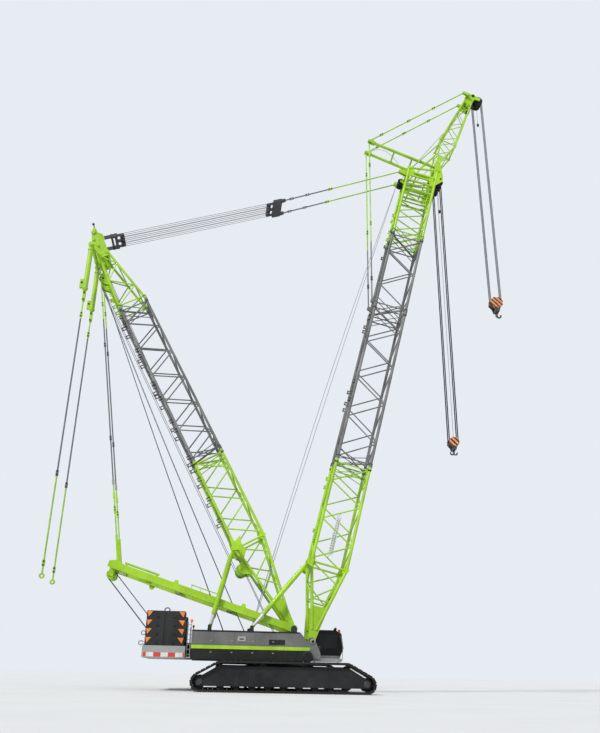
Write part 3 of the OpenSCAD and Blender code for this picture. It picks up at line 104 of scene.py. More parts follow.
WORLD = Line((0.0, 0.0), 0.0)
BOOM = Line(BOOM_FOOT, BOOM_A)
MAST = Line(MAST_FOOT, MAST_A)
GANTRY = Line(MAST_FOOT, GANTRY_A)
jib_foot = place(BOOM_FOOT, BOOM_A, BOOM_LEN, -BOOM_HALF + 0.08)
JIB = Line(jib_foot, JIB_A)
STRUT = Line(jib_foot, STRUT_A)
jib_tip = place(jib_foot, JIB_A, 4.4, 0)
strut_tip = place(jib_foot, STRUT_A, 2.87, 0)
main_sheave = place(BOOM_FOOT, BOOM_A, BOOM_LEN - 0.64, -BOOM_HALF - 0.19)
rear_sheave = place(BOOM_FOOT, BOOM_A, BOOM_LEN - 0.96, BOOM_HALF + 0.15)
aux_sheave = (jib_tip[0] + 0.33, jib_tip[1] - 0.12)
link_pin = place(MAST_FOOT, MAST_A, MAST_LEN - 0.482, -0.05)
ballast_pin = place(MAST_FOOT, MAST_A, MAST_LEN - 0.844, 0.424)
pendant_lug = place(BOOM_FOOT, BOOM_A, BOOM_LEN - 0.7, BOOM_HALF + 0.3)
tackle_line = heading(link_pin, pendant_lug)
float_pin = place(link_pin, tackle_line, 6.9, -0.14)
PENDANT = Line(float_pin, heading(float_pin, pendant_lug))
gantry_stay_pin = place(MAST_FOOT, GANTRY_A, 5.8 - 0.23, -0.02)
gantry_stay_top = place(MAST_FOOT, MAST_A, MAST_LEN - 1.49, 0.43)
back_stay_foot = place(BOOM_FOOT, BOOM_A, LONG_END + 0.25, BOOM_HALF + 0.13)
jib_stay_pin = place(jib_foot, JIB_A, 4.3, 0.33)


# Materials
def new_material(name):
    m = bpy.data.materials.new(name)
    m.use_nodes = True
    nt = m.node_tree
    return m, nt, nt.nodes["Principled BSDF"], object_coord(nt)


def node(nt, kind, **values):
    n = nt.nodes.new(kind)
    for k, v in values.items():
        if k in n.inputs:
            n.inputs[k].default_value = v
        else:
            setattr(n, k, v)
    return n


def noise(nt, coord, scale, detail=4.0, rough=0.55, stretch=None):
    if stretch:
        mp = node(nt, "ShaderNodeMapping")
        mp.inputs["Scale"].default_value = stretch
        nt.links.new(coord, mp.inputs["Vector"])
        coord = mp.outputs["Vector"]
    n = node(nt, "ShaderNodeTexNoise")
    n.inputs["Scale"].default_value = scale
    n.inputs["Detail"].default_value = detail
    n.inputs["Roughness"].default_value = rough
    nt.links.new(coord, n.inputs["Vector"])
    return n.outputs["Fac"]


def ramp(nt, fac, lo, hi, a=0.0, b=1.0):
    r = node(nt, "ShaderNodeMapRange")
    r.inputs["From Min"].default_value = lo
    r.inputs["From Max"].default_value = hi
    r.inputs["To Min"].default_value = a
    r.inputs["To Max"].default_value = b
    nt.links.new(fac, r.inputs["Value"])
    return r.outputs["Result"]


def patches(nt, co, scale, detail):
    """Soft patches, from 0 to 1."""
    return ramp(nt, noise(nt, co, scale, detail), 0.3, 0.7)


def tint(nt, b, col):
    nt.links.new(col, b.inputs["Base Color"])


def mixed(nt, fac, a, b):
    m = node(nt, "ShaderNodeMix", data_type="RGBA")
    if isinstance(fac, float):
        m.inputs[0].default_value = fac
    else:
        nt.links.new(fac, m.inputs[0])
    for sock, v in ((m.inputs[6], a), (m.inputs[7], b)):
        if isinstance(v, (tuple, list)):
            sock.default_value = (*v[:3], 1.0)
        else:
            nt.links.new(v, sock)
    return m.outputs[2]


def times(nt, a, b):
    m = node(nt, "ShaderNodeMath", operation="MULTIPLY")
    for sock, v in ((m.inputs[0], a), (m.inputs[1], b)):
        if isinstance(v, float):
            sock.default_value = v
        else:
            nt.links.new(v, sock)
    return m.outputs[0]


def relief(nt, b, height, strength, distance=0.003):
    bp = node(nt, "ShaderNodeBump", Strength=strength, Distance=distance)
    nt.links.new(height, bp.inputs["Height"])
    nt.links.new(bp.outputs["Normal"], b.inputs["Normal"])


def object_coord(nt):
    return node(nt, "ShaderNodeTexCoord").outputs["Object"]


def paint(name, rgb, rough=0.42, dirt=(0.10, 0.085, 0.06), grime=0.5, fade=0.25, size=1.0, bump=0.25,
          coat=0.0, shine=0.5):
    """Painted steel with faded patches, rain streaks, dust and fine chips."""
    m, nt, b, co = new_material(name)
    pale = tuple(min(1.0, c * (1 + fade) + 0.02 * fade) for c in rgb)
    deep = tuple(c * (1 - fade) for c in rgb)
    broad = patches(nt, co, 1.3 * size, 3.0)
    col = mixed(nt, broad, deep, pale)
    streak = ramp(nt, noise(nt, co, 9.0 * size, 5.0, 0.6, (1.0, 1.0, 0.16)), 0.56, 0.78)
    col = mixed(nt, times(nt, streak, grime * 0.8), col, dirt)
    fleck = ramp(nt, noise(nt, co, 46.0 * size, 6.0, 0.7), 0.62, 0.70)
    col = mixed(nt, times(nt, fleck, grime), col, tuple(c * 0.55 for c in dirt))
    tint(nt, b, col)
    nt.links.new(ramp(nt, noise(nt, co, 14.0 * size, 5.0), 0.3, 0.7, max(0.05, rough - 0.12),
                      min(1.0, rough + 0.16)), b.inputs["Roughness"])
    relief(nt, b, noise(nt, co, 60.0 * size, 6.0, 0.65), bump, 0.004)
    b.inputs["Coat Weight"].default_value = coat
    b.inputs["Specular IOR Level"].default_value = shine
    return m


def metal(name, rgb, rough=0.3, grime=0.3, size=1.0, metallic=1.0, bump=0.15, shine=0.5):
    m, nt, b, co = new_material(name)
    col = mixed(nt, patches(nt, co, 3.0 * size, 4.0), tuple(c * 0.78 for c in rgb), rgb)
    spots = ramp(nt, noise(nt, co, 24.0 * size, 6.0, 0.7), 0.55, 0.75)
    col = mixed(nt, times(nt, spots, grime), col, (0.06, 0.045, 0.03))
    tint(nt, b, col)
    b.inputs["Metallic"].default_value = metallic
    b.inputs["Specular IOR Level"].default_value = shine
    nt.links.new(ramp(nt, noise(nt, co, 18.0 * size, 5.0), 0.3, 0.7, rough * 0.7, min(1.0, rough * 1.5)),
                 b.inputs["Roughness"])
    relief(nt, b, noise(nt, co, 70.0 * size, 5.0, 0.6), bump)
    return m


def rope_material(name, rgb, metallic=0.35, lay=0.3, shine=0.5):
    """Wire rope: a fine lay of strands in the relief, with greased and dry lengths."""
    m, nt, b, co = new_material(name)
    wv = node(nt, "ShaderNodeTexWave", wave_type="BANDS", bands_direction="DIAGONAL")
    wv.inputs["Scale"].default_value = 40.0
    wv.inputs["Distortion"].default_value = 0.6
    nt.links.new(co, wv.inputs["Vector"])
    col = mixed(nt, wv.outputs["Fac"], tuple(c * (1.0 - lay) for c in rgb), rgb)
    grease = ramp(nt, noise(nt, co, 1.7, 4.0), 0.4, 0.7, 0.0, 0.45)
    col = mixed(nt, grease, col, tuple(c * 0.45 for c in rgb))
    tint(nt, b, col)
    b.inputs["Metallic"].default_value = metallic
    b.inputs["Specular IOR Level"].default_value = shine
    b.inputs["Roughness"].default_value = 0.5
    relief(nt, b, wv.outputs["Fac"], 0.35)
    return m


def striped(name, a, b_rgb, width, slope, axis=0, offset=0.0):
    """Diagonal warning stripes of two paints, by the object's own coordinates."""
    m, nt, b, co = new_material(name)
    sep = node(nt, "ShaderNodeSeparateXYZ")
    nt.links.new(co, sep.inputs[0])
    s = node(nt, "ShaderNodeMath", operation="MULTIPLY_ADD")
    nt.links.new(sep.outputs[2], s.inputs[0])
    s.inputs[1].default_value = slope
    nt.links.new(sep.outputs[axis], s.inputs[2])
    moved = node(nt, "ShaderNodeMath", operation="ADD")
    nt.links.new(s.outputs[0], moved.inputs[0])
    moved.inputs[1].default_value = offset
    pp = node(nt, "ShaderNodeMath", operation="PINGPONG")
    nt.links.new(moved.outputs[0], pp.inputs[0])
    pp.inputs[1].default_value = width
    st = node(nt, "ShaderNodeMath", operation="GREATER_THAN")
    nt.links.new(pp.outputs[0], st.inputs[0])
    st.inputs[1].default_value = width * 0.5
    wear = ramp(nt, noise(nt, co, 5.0, 4.0), 0.3, 0.7, 0.0, 0.35)
    col = mixed(nt, st.outputs[0], a, b_rgb)
    col = mixed(nt, wear, col, (0.12, 0.10, 0.08))
    chips = ramp(nt, noise(nt, co, 40.0, 6.0, 0.7), 0.62, 0.7)
    col = mixed(nt, times(nt, chips, 0.7), col, (0.05, 0.04, 0.03))
    tint(nt, b, col)
    b.inputs["Roughness"].default_value = 0.42
    relief(nt, b, noise(nt, co, 50.0, 5.0), 0.2)
    return m


def above(nt, co, axis, at, size=False):
    """1 where a coordinate, or its size, lies above a value."""
    sep = node(nt, "ShaderNodeSeparateXYZ")
    nt.links.new(co, sep.inputs[0])
    value = sep.outputs[axis]
    if size:
        m = node(nt, "ShaderNodeMath", operation="ABSOLUTE")
        nt.links.new(value, m.inputs[0])
        value = m.outputs[0]
    st = node(nt, "ShaderNodeMath", operation="GREATER_THAN")
    nt.links.new(value, st.inputs[0])
    st.inputs[1].default_value = at
    return st.outputs[0]


def split_paint(name, top, axis, *zones, **kw):
    """Paints that change along one axis: each zone is (place, paint below it), from the top down."""
    m = paint(name, top, **kw)
    nt = m.node_tree
    b = nt.nodes["Principled BSDF"]
    co = object_coord(nt)
    col = b.inputs["Base Color"].links[0].from_socket
    worn = patches(nt, co, 6.0, 5.0)
    for at, rgb in zones:
        tone = mixed(nt, worn, tuple(c * 0.75 for c in rgb), tuple(min(1, c * 1.2) for c in rgb))
        col = mixed(nt, above(nt, co, axis, at), tone, col)
    tint(nt, b, col)
    return m


def hook_paint(name, z, r, half):
    """Warning stripes on a block's two cheeks, and dark iron on the rest of it."""
    m = striped(name, (0.92, 0.30, 0.07), (0.008, 0.006, 0.006), 0.095, 1.05)
    nt = m.node_tree
    b = nt.nodes["Principled BSDF"]
    co = object_coord(nt)
    col = b.inputs["Base Color"].links[0].from_socket
    iron = mixed(nt, patches(nt, co, 9.0, 5.0), (0.022, 0.023, 0.026), (0.06, 0.062, 0.066))
    cheek = times(nt, above(nt, co, 1, half - 0.014, True), above(nt, co, 2, z - r * 1.15))
    tint(nt, b, mixed(nt, cheek, iron, col))
    return m


LIME = (0.31, 0.54, 0.014)
WORN = (0.150, 0.153, 0.152)
MAT = {
    "lime": paint("lime_paint", LIME, rough=0.40, grime=0.28, fade=0.2, coat=0.05, shine=0.35),
    "lime_dull": paint("lime_paint_dull", (0.22, 0.40, 0.02), rough=0.5, grime=0.5, fade=0.25, shine=0.3),
    "worn": paint("worn_grey_paint", WORN, rough=0.62, dirt=(0.22, 0.205, 0.18), grime=0.5, fade=0.4,
                  bump=0.4, shine=0.3),
    "dark": paint("dark_paint", (0.012, 0.0125, 0.0135), rough=0.45, dirt=(0.05, 0.045, 0.038), grime=0.35,
                  fade=0.3, shine=0.2),
    "deck": paint("deck_paint", (0.030, 0.031, 0.033), rough=0.6, dirt=(0.08, 0.07, 0.06), grime=0.5,
                  fade=0.3, shine=0.25),
    "grey": paint("grey_paint", (0.16, 0.165, 0.17), rough=0.45, dirt=(0.10, 0.09, 0.07), grime=0.35,
                  fade=0.2),
    "pale": paint("pale_grey_paint", (0.30, 0.305, 0.29), rough=0.45, grime=0.3, fade=0.12, shine=0.3),
    "slab": paint("slab_iron", (0.017, 0.018, 0.018), rough=0.55, dirt=(0.06, 0.054, 0.045), grime=0.4,
                  fade=0.3, bump=0.6, shine=0.2),
    "track": metal("track_steel", (0.020, 0.019, 0.018), rough=0.55, grime=0.4, metallic=0.15, bump=0.5,
                   shine=0.25),
    "steel": metal("bare_steel", (0.42, 0.42, 0.42), rough=0.35),
    "block": metal("block_steel", (0.055, 0.056, 0.060), rough=0.5, metallic=0.3, shine=0.3),
    "sheave": metal("sheave_iron", (0.012, 0.013, 0.017), rough=0.45, metallic=0.3, shine=0.3),
    "rope": rope_material("wire_rope", (0.022, 0.022, 0.025), 0.1, shine=0.2),
    "luff_rope": rope_material("luffing_rope", (0.27, 0.27, 0.28), 0.2),
    "thin_rope": rope_material("thin_wire_rope", (0.11, 0.12, 0.145), 0.1, shine=0.3),
    "pale_rope": rope_material("pale_wire_rope", (0.36, 0.39, 0.43), 0.1),
    "aux_rope": rope_material("long_wire_rope", (0.075, 0.085, 0.11), 0.1, shine=0.3),
    "orange": paint("orange_paint", (0.75, 0.20, 0.03), rough=0.4, grime=0.4),
    "red": paint("red_paint", (0.60, 0.03, 0.02), rough=0.35, grime=0.2),
    "white": paint("white_paint", (0.75, 0.75, 0.74), rough=0.4, grime=0.3, fade=0.06),
    "rubber": paint("black_rubber", (0.018, 0.018, 0.019), rough=0.75, grime=0.3),
    "seat": paint("seat_fabric", (0.035, 0.036, 0.040), rough=0.9, grime=0.1, size=3.0, bump=0.8),
    "main_hook": hook_paint("main_hook_paint", MAIN_HOOK_Z, MAIN_HOOK_R, MAIN_HOOK_HALF),
    "aux_hook": hook_paint("aux_hook_paint", AUX_HOOK_Z, AUX_HOOK_R, AUX_HOOK_HALF),
    "tape": striped("red_white_tape", (0.72, 0.70, 0.68), (0.62, 0.035, 0.03), 0.2, 0.0, 1),
    "tape_x": striped("red_white_tape_side", (0.72, 0.70, 0.68), (0.62, 0.035, 0.03), 0.2, 0.0, 0, 0.1),
    "perforated": paint("perforated_grey", (0.36, 0.37, 0.38), rough=0.5, grime=0.2),
}


def dark_glass():
    m, nt, b, co = new_material("tinted_glass")
    col = mixed(nt, patches(nt, co, 2.0, 3.0), (0.003, 0.004, 0.0045), (0.008, 0.011, 0.012))
    tint(nt, b, col)
    nt.links.new(ramp(nt, noise(nt, co, 12.0, 4.0), 0.4, 0.7, 0.03, 0.14), b.inputs["Roughness"])
    b.inputs["IOR"].default_value = 1.5
    b.inputs["Specular IOR Level"].default_value = 0.2
    b.inputs["Coat Weight"].default_value = 0.05
    return m


MAT["glass"] = dark_glass()


def lamp_glass():
    m, nt, b, co = new_material("lamp_glass")
    tint(nt, b, mixed(nt, ramp(nt, noise(nt, co, 60.0, 2.0), 0.4, 0.6), (0.65, 0.66, 0.68),
                      (0.85, 0.86, 0.88)))
    b.inputs["Roughness"].default_value = 0.12
    b.inputs["Coat Weight"].default_value = 1.0
    return m


MAT["lamp"] = lamp_glass()
STEEL_GREY = (0.12, 0.123, 0.125)
pendant_top = PENDANT(1.85, 0, 0).x
stay_top, stay_low = gantry_stay_top[1] - 2.1, gantry_stay_pin[1] + 2.5
MAT["pendant"] = split_paint("pendant_paint", (0.31, 0.50, 0.03), 0, (pendant_top, STEEL_GREY), grime=0.3)
MAT["ballast"] = split_paint("ballast_stay_paint", LIME, 2, (ballast_pin[1] - 2.92, STEEL_GREY),
                             (ballast_pin[1] - 8.3, (0.28, 0.46, 0.04)), grime=0.3)
MAT["gantry_stay"] = split_paint("gantry_stay_paint", LIME, 2, (stay_top, STEEL_GREY), (stay_low, LIME),
                                 grime=0.3)
jib_stay_low = place(BOOM_FOOT, BOOM_A, 14.6, 0)[1]
MAT["jib_stay"] = split_paint("jib_stay_paint", LIME, 2, (jib_stay_low, (0.13, 0.125, 0.12)), grime=0.25)
MAT["stop_rod"] = split_paint("stop_rod_finish", (0.62, 0.63, 0.65), 2, (1.80, LIME), rough=0.2, grime=0.1,
                              bump=0.05)
MAT["housing"] = split_paint("housing_paint", (0.135, 0.137, 0.128), 2, (1.10, (0.013, 0.015, 0.013)),
                             grime=0.4, dirt=(0.05, 0.046, 0.04), shine=0.25)
MAT["cab"] = split_paint("cab_paint", (0.004, 0.0045, 0.0045), 2, (1.04, (0.17, 0.175, 0.17)), rough=0.3,
                         coat=0.03, dirt=(0.015, 0.014, 0.012), shine=0.15)

# Which nodes wear which finish
WEARERS = {
    "dark": "carbody crawler_frame_right crawler_frame_left turntable engine",
    "track": "track_right track_left rollers",
    "slab": "carbody_weights slabs_right slabs_left",
    "deck": "main_frame",
    "housing": "housing_right housing_left",
    "block": "winches tackle_links mast_block floating_block",
    "perforated": "cab_platform",
    "cab": "cab_shell cab_door",
    "glass": "cab_glass",
    "seat": "cab_seat",
    "pale": "counterweight_tray",
    "lime": "boom_base boom_top jib jib_strut mast_base mast_top gantry boom_stop_tubes "
            "mast_stop_tubes",
    "worn": "boom_insert_long boom_insert_short mast_insert",
    "sheave": "boom_sheaves jib_sheaves",
    "jib_stay": "jib_stays",
    "lime_dull": "mast_winch",
    "gantry_stay": "gantry_stays",
    "thin_rope": "gantry_ropes",
    "stop_rod": "boom_stop_rods mast_stop_rods",
    "luff_rope": "luff_ropes",
    "pendant": "boom_pendants",
    "ballast": "ballast_stays",
    "rope": "main_falls",
    "main_hook": "main_hook",
    "aux_rope": "aux_falls",
    "aux_hook": "aux_hook",
}
finish_of = {node_name: finish for finish, names in WEARERS.items() for node_name in names.split()}
for name, obj in nodes.items():
    obj.data.materials.clear()
    obj.data.materials.append(MAT[finish_of[name]])


# The slot that a finish usually wears
USUAL_SLOTS = {
    "bare_steel": "block sheave steel",
    "worn_grey_paint": "worn",
    "lime_paint": "lime",
    "dark_paint": "dark rubber",
    "grey_paint": "pale white housing deck grey",
    "rope_steel": "thin_rope pale_rope",
    "hook_orange": "orange tape_x tape red",
    "cab_glass": "lamp glass",
}
slot_of = {finish: slot for slot, names in USUAL_SLOTS.items() for finish in names.split()}


# Mesh making
def circle(r, sides):
    turns = [2 * math.pi * k / sides for k in range(sides)]
    return [(r * math.cos(t), r * math.sin(t)) for t in turns]


class Piece:
    """One joined mesh of many small solids, in one finish, riding on one body."""

    def __init__(self, name, body, finish, slot=None):
        self.name, self.body, self.finish, self.slot = name, body, finish, slot or slot_of[finish]
        self.bm = bmesh.new()

    def ring(self, centre, x, y, pts):
        return [self.bm.verts.new(centre + x * a + y * b) for a, b in pts]

    def skin(self, r0, r1):
        n = len(r0)
        for i in range(n):
            self.bm.faces.new((r0[i], r0[(i + 1) % n], r1[(i + 1) % n], r1[i]))

    def rod(self, a, b, r, sides=10, r2=None, cap=True):
        a, b = Vector(a), Vector(b)
        d = (b - a).normalized()
        x = d.orthogonal().normalized()
        y = d.cross(x)
        r2 = r if r2 is None else r2
        p = self.ring(a, x, y, circle(r, sides))
        q = self.ring(b, x, y, circle(r2, sides))
        self.skin(p, q)
        if cap:
            self.bm.faces.new(p[::-1])
            self.bm.faces.new(q)

    def path(self, pts, r, sides=6):
        """A tube through points, with its ends closed."""
        pts = [Vector(p) for p in pts]
        rings, x = [], None
        for i, p in enumerate(pts):
            d = (pts[min(i + 1, len(pts) - 1)] - pts[max(i - 1, 0)]).normalized()
            x = d.orthogonal().normalized() if x is None else (x - d * x.dot(d)).normalized()
            y = d.cross(x)
            rings.append(self.ring(p, x, y, circle(r, sides)))
        for p, q in zip(rings, rings[1:]):
            self.skin(p, q)
        self.bm.faces.new(rings[0][::-1])
        self.bm.faces.new(rings[-1])

    def lathe(self, a, b, profile, sides=24):
        """A turned form between two points: profile is (part of the length, radius)."""
        a, b = Vector(a), Vector(b)
        d = (b - a).normalized()
        x = d.orthogonal().normalized()
        y = d.cross(x)
        rings = []
        for t, r in profile:
            c = a + (b - a) * t
            rings.append(self.ring(c, x, y, circle(r, sides)))
        for p, q in zip(rings, rings[1:]):
            self.skin(p, q)
        self.bm.faces.new(rings[0][::-1])
        self.bm.faces.new(rings[-1])

    def block(self, line, u, y, w, bevel=0.0):
        """A box between pairs of u, y and w in a member's frame, with its edges cut."""
        g = bmesh.new()
        bmesh.ops.create_cube(g, size=1.0)
        for v in g.verts:
            v.co = Vector(((u[0] + u[1]) / 2 + v.co.x * (u[1] - u[0]),
                           (y[0] + y[1]) / 2 + v.co.y * (y[1] - y[0]),
                           (w[0] + w[1]) / 2 + v.co.z * (w[1] - w[0])))
        if bevel:
            bmesh.ops.bevel(g, geom=list(g.edges), offset=bevel, segments=1, affect="EDGES")
        self.add(g, line.m)

    def box(self, x, y, z, bevel=0.0):
        self.block(WORLD, x, y, z, bevel)

    def plate(self, line, pts, y0, y1, bevel=0.0):
        """An outline of (u, w) points in a member's frame, from y0 to y1."""
        g = bmesh.new()
        f = g.faces.new([g.verts.new((u, y0, w)) for u, w in pts])
        ext = bmesh.ops.extrude_face_region(g, geom=[f])
        bmesh.ops.translate(g, vec=(0, y1 - y0, 0), verts=[v for v in ext["geom"] if isinstance(v,
                bmesh.types.BMVert)])
        bmesh.ops.recalc_face_normals(g, faces=g.faces)
        if bevel:
            bmesh.ops.bevel(g, geom=list(g.edges), offset=bevel, segments=1, affect="EDGES")
        self.add(g, line.m)

    def add(self, g, m):
        """Joins another mesh, moved by a matrix."""
        new = {v: self.bm.verts.new(m @ v.co) for v in g.verts}
        for f in g.faces:
            self.bm.faces.new([new[v] for v in f.verts])
        g.free()

    def done(self, smooth=35.0):
        bmesh.ops.recalc_face_normals(self.bm, faces=self.bm.faces)
        me = bpy.data.meshes.new(self.name)
        self.bm.to_mesh(me)
        self.bm.free()
        obj = bpy.data.objects.new(self.name, me)
        scene.collection.objects.link(obj)
        me.materials.append(MAT[self.finish])
        me.shade_smooth()
        me.set_sharp_from_angle(angle=math.radians(smooth))
        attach(obj, self.body)
        return obj


SIDES = (-1, 1)


def all_done(*pieces):
    for piece in pieces:
        piece.done()


def span(side, a, b):
    """Two distances across the crane on one side, the lower coordinate first."""
    return sorted((side * a, side * b))


# Splices: lug blocks and pins where the sections join
def splice_pins(piece, line, u, half, r):
    for sy in SIDES:
        for sw in SIDES:
            w = sw * half
            for d in (-0.045, 0.045):
                piece.rod(line(u + d, sy * half - 1.75 * r, w), line(u + d, sy * half + 1.75 * r, w),
                          r * 0.42, 10)
            for d in (-0.1, 0.1):
                piece.block(line, (u + d - 0.035, u + d + 0.035),
                            (sy * half - r * 1.15, sy * half + r * 1.15), (w - r * 1.15, w + r * 1.15),
                            0.008)


pins = Piece("boom_splice_pins", "boom", "block")
for u in (BASE_END, LONG_END, SHORT_END):
    splice_pins(pins, BOOM, u, BOOM_HALF, 0.05)
pins.done()
mast_pins = Piece("mast_splice_pins", "mast", "block")
for u in (MAST_BASE_END, MAST_INSERT_END):
    splice_pins(mast_pins, MAST, u, MAST_HALF, 0.042)
mast_pins.done()


# Crossed bars in the sections on both sides of each splice
def section_braces(piece, line, u, half, places):
    a = half - 0.02
    for d in places:
        for s in SIDES:
            piece.rod(line(u + d, -a, -s * a), line(u + d, a, s * a), 0.015, 8)
            piece.rod(line(u + d * 1.8, -a, s * half), line(u + d * 1.8, a, s * half), 0.017, 8)


grey_bars = Piece("boom_section_braces", "boom", "worn")
lime_bars = Piece("boom_end_braces", "boom", "lime")
section_braces(lime_bars, BOOM, BASE_END, BOOM_HALF, (-0.16, -0.34))
section_braces(grey_bars, BOOM, BASE_END, BOOM_HALF, (0.16, 0.34))
section_braces(grey_bars, BOOM, LONG_END, BOOM_HALF, (-0.34, -0.16, 0.16, 0.34))
section_braces(grey_bars, BOOM, SHORT_END, BOOM_HALF, (-0.34, -0.16))
section_braces(lime_bars, BOOM, SHORT_END, BOOM_HALF, (0.16, 0.34))
all_done(grey_bars, lime_bars)
grey_bars = Piece("mast_section_braces", "mast", "worn")
lime_bars = Piece("mast_end_braces", "mast", "lime")
section_braces(lime_bars, MAST, MAST_BASE_END, MAST_HALF, (-0.14, -0.3))
section_braces(grey_bars, MAST, MAST_BASE_END, MAST_HALF, (0.14, 0.3))
section_braces(grey_bars, MAST, MAST_INSERT_END, MAST_HALF, (-0.3, -0.14))
all_done(grey_bars, lime_bars)


# Gussets: small plates where lacing meets a bent chord
def knee_gussets(piece, line, u, half, size):
    outline = ((-1.0, -0.02), (-0.2, -0.14), (1.0, -0.05), (0.85, 0.03), (-0.85, 0.0))
    for sy in SIDES:
        for sw in SIDES:
            pts = [(u + a * size, sw * (half + b)) for a, b in outline]
            piece.plate(line, pts, sy * half - 0.012, sy * half + 0.012, 0.003)


knee = Piece("boom_knee_gussets", "boom", "lime")
knee_gussets(knee, BOOM, BOOM_KNEE, BOOM_HALF, 0.24)
knee.done()
star = Piece("mast_knee_gussets", "mast", "lime")
knee_gussets(star, MAST, MAST_KNEE, MAST_HALF, 0.22)
for sy in SIDES:
    y = sy * (MAST_HALF + 0.024)
    outline = ((-0.34, 0.40), (-0.20, 0.22), (0.05, 0.26), (0.30, 0.20), (0.22, 0.42), (0.38, 0.52),
               (0.05, 0.57), (-0.22, 0.54))
    star.plate(MAST, [(MAST_KNEE + u, w) for u, w in outline], y - 0.01, y + 0.01, 0.003)
star.done()


# Rope guides: small rollers in brackets on the rear chords
def rope_guides(brackets, rollers, line, places, half, y, reach):
    for u in places:
        w = half(u)
        for sy in SIDES:
            for d in (-0.05, 0.05):
                brackets.block(line, (u + d - 0.01, u + d + 0.01), (sy * y - 0.026, sy * y + 0.026),
                               (w + 0.02, w + reach), 0.003)
            rollers.rod(line(u - 0.045, sy * y, w + reach - 0.03),
                        line(u + 0.045, sy * y, w + reach - 0.03), 0.026, 10)


def mast_half_w(u):
    if u < MAST_INSERT_END:
        return MAST_HALF
    return MAST_HALF + (MAST_TOP_HALF - MAST_HALF) * (u - MAST_INSERT_END) / MAST_TAPER


guides = Piece("boom_rope_guides", "boom", "dark")
guide_rollers = Piece("boom_guide_rollers", "boom", "worn")
rope_guides(guides, guide_rollers, BOOM, (7.78, 8.03, 8.47, 10.99, 11.19, 14.3, 14.85), lambda u: BOOM_HALF,
            BOOM_HALF, 0.13)
all_done(guides, guide_rollers)
top_guides = Piece("boom_top_guides", "boom", "lime")
rope_guides(top_guides, top_guides, BOOM, (15.2, 15.57, 16.1, 16.4, 5.2, 4.9, 3.4), lambda u: BOOM_HALF,
            BOOM_HALF, 0.11)
top_guides.done()
mast_guides = Piece("mast_rope_guides", "mast", "dark")
mast_rollers = Piece("mast_guide_rollers", "mast", "pale")
rope_guides(mast_guides, mast_rollers, MAST, (3.9, 4.65, 5.35, 5.92, 6.15, 7.16, 7.51, 8.39, 8.83, 8.97,
                                              10.07, 10.3, 11.33, 11.68), mast_half_w, MAST_HALF, 0.17)
all_done(mast_guides, mast_rollers)
mast_top_guides = Piece("mast_top_guides", "mast", "lime")
rope_guides(mast_top_guides, mast_top_guides, MAST, (12.35, 12.62, 12.9), mast_half_w, 0.47, 0.16)
mast_top_guides.done()

# Perforated rope tray inside the boom's base, carried on two bars between its side lacing
tray = Piece("boom_rope_tray", "boom", "white")
tray_dark = Piece("boom_tray_holes", "boom", "worn")
for u in (2.678, 3.95):
    tray.rod(BOOM(u, -BOOM_HALF, 0.0), BOOM(u, BOOM_HALF, 0.0), 0.014, 8)
tray.block(BOOM, (2.74, 3.88), (-0.012, 0.012), (-0.075, 0.055), 0.004)
for w in (-0.08, 0.06):
    tray.rod(BOOM(2.66, 0.0, w), BOOM(3.97, 0.0, w), 0.011, 8)
for k in range(13):
    u = 2.80 + k * 0.083
    for w in (-0.045, 0.025):
        tray_dark.block(BOOM, (u - 0.014, u + 0.014), (-0.015, 0.015), (w - 0.013, w + 0.013), 0.003)
all_done(tray, tray_dark)

# Heavy cross beams in the boom's head
beams = Piece("boom_head_beams", "boom", "lime")
for u, w0, w1 in ((17.02, -0.56, 0.56), (17.42, -0.5, 0.56), (17.66, -0.5, 0.56), (17.82, -0.5, 0.56)):
    for sy in SIDES:
        beams.block(BOOM, (u - 0.035, u + 0.035), (sy * 0.56 - 0.03, sy * 0.56 + 0.03), (w0, w1), 0.008)
for u, w in ((17.3, 0.3), (17.75, 0.2), (17.5, -0.2)):
    beams.rod(BOOM(u, -0.53, w), BOOM(u, 0.53, w), 0.03, 12)
for sy in SIDES:
    y = sy * 0.575
    beams.plate(BOOM, [(17.55, 0.52), (17.99, 0.55), (18.04, 0.44), (17.86, 0.30), (17.60, 0.40)], y - 0.01,
                y + 0.01, 0.003)
    beams.plate(BOOM, [(17.35, -0.54), (17.80, -0.54), (17.74, -0.30), (17.45, -0.36)], y - 0.01, y + 0.01,
                0.003)
beams.done()

# Gantry beam: a low rail and lugs along its top edge, a lug below it
rails = Piece("gantry_rails", "mast", "lime")
BEAM_TOP, BEAM_Y = -0.10, 0.635
for sy in SIDES:
    y = sy * BEAM_Y
    rails.rod(GANTRY(2.40, y, BEAM_TOP - 0.11), GANTRY(3.30, y, BEAM_TOP - 0.11), 0.014, 8)
    for k in range(4):
        rails.rod(GANTRY(2.42 + k * 0.285, y, BEAM_TOP + 0.03),
                  GANTRY(2.42 + k * 0.285, y, BEAM_TOP - 0.115), 0.011, 8)
    for u in (1.62, 3.75):
        rails.plate(GANTRY, [(u - 0.09, BEAM_TOP + 0.03), (u + 0.09, BEAM_TOP + 0.03),
                             (u + 0.05, BEAM_TOP - 0.1), (u - 0.05, BEAM_TOP - 0.1)], y - 0.012, y + 0.012,
                    0.003)
    rails.plate(GANTRY, [(4.40, -BEAM_TOP - 0.03), (4.62, -BEAM_TOP - 0.03), (4.56, 0.21), (4.46, 0.21)],
                y - 0.012, y + 0.012, 0.003)
rails.done()

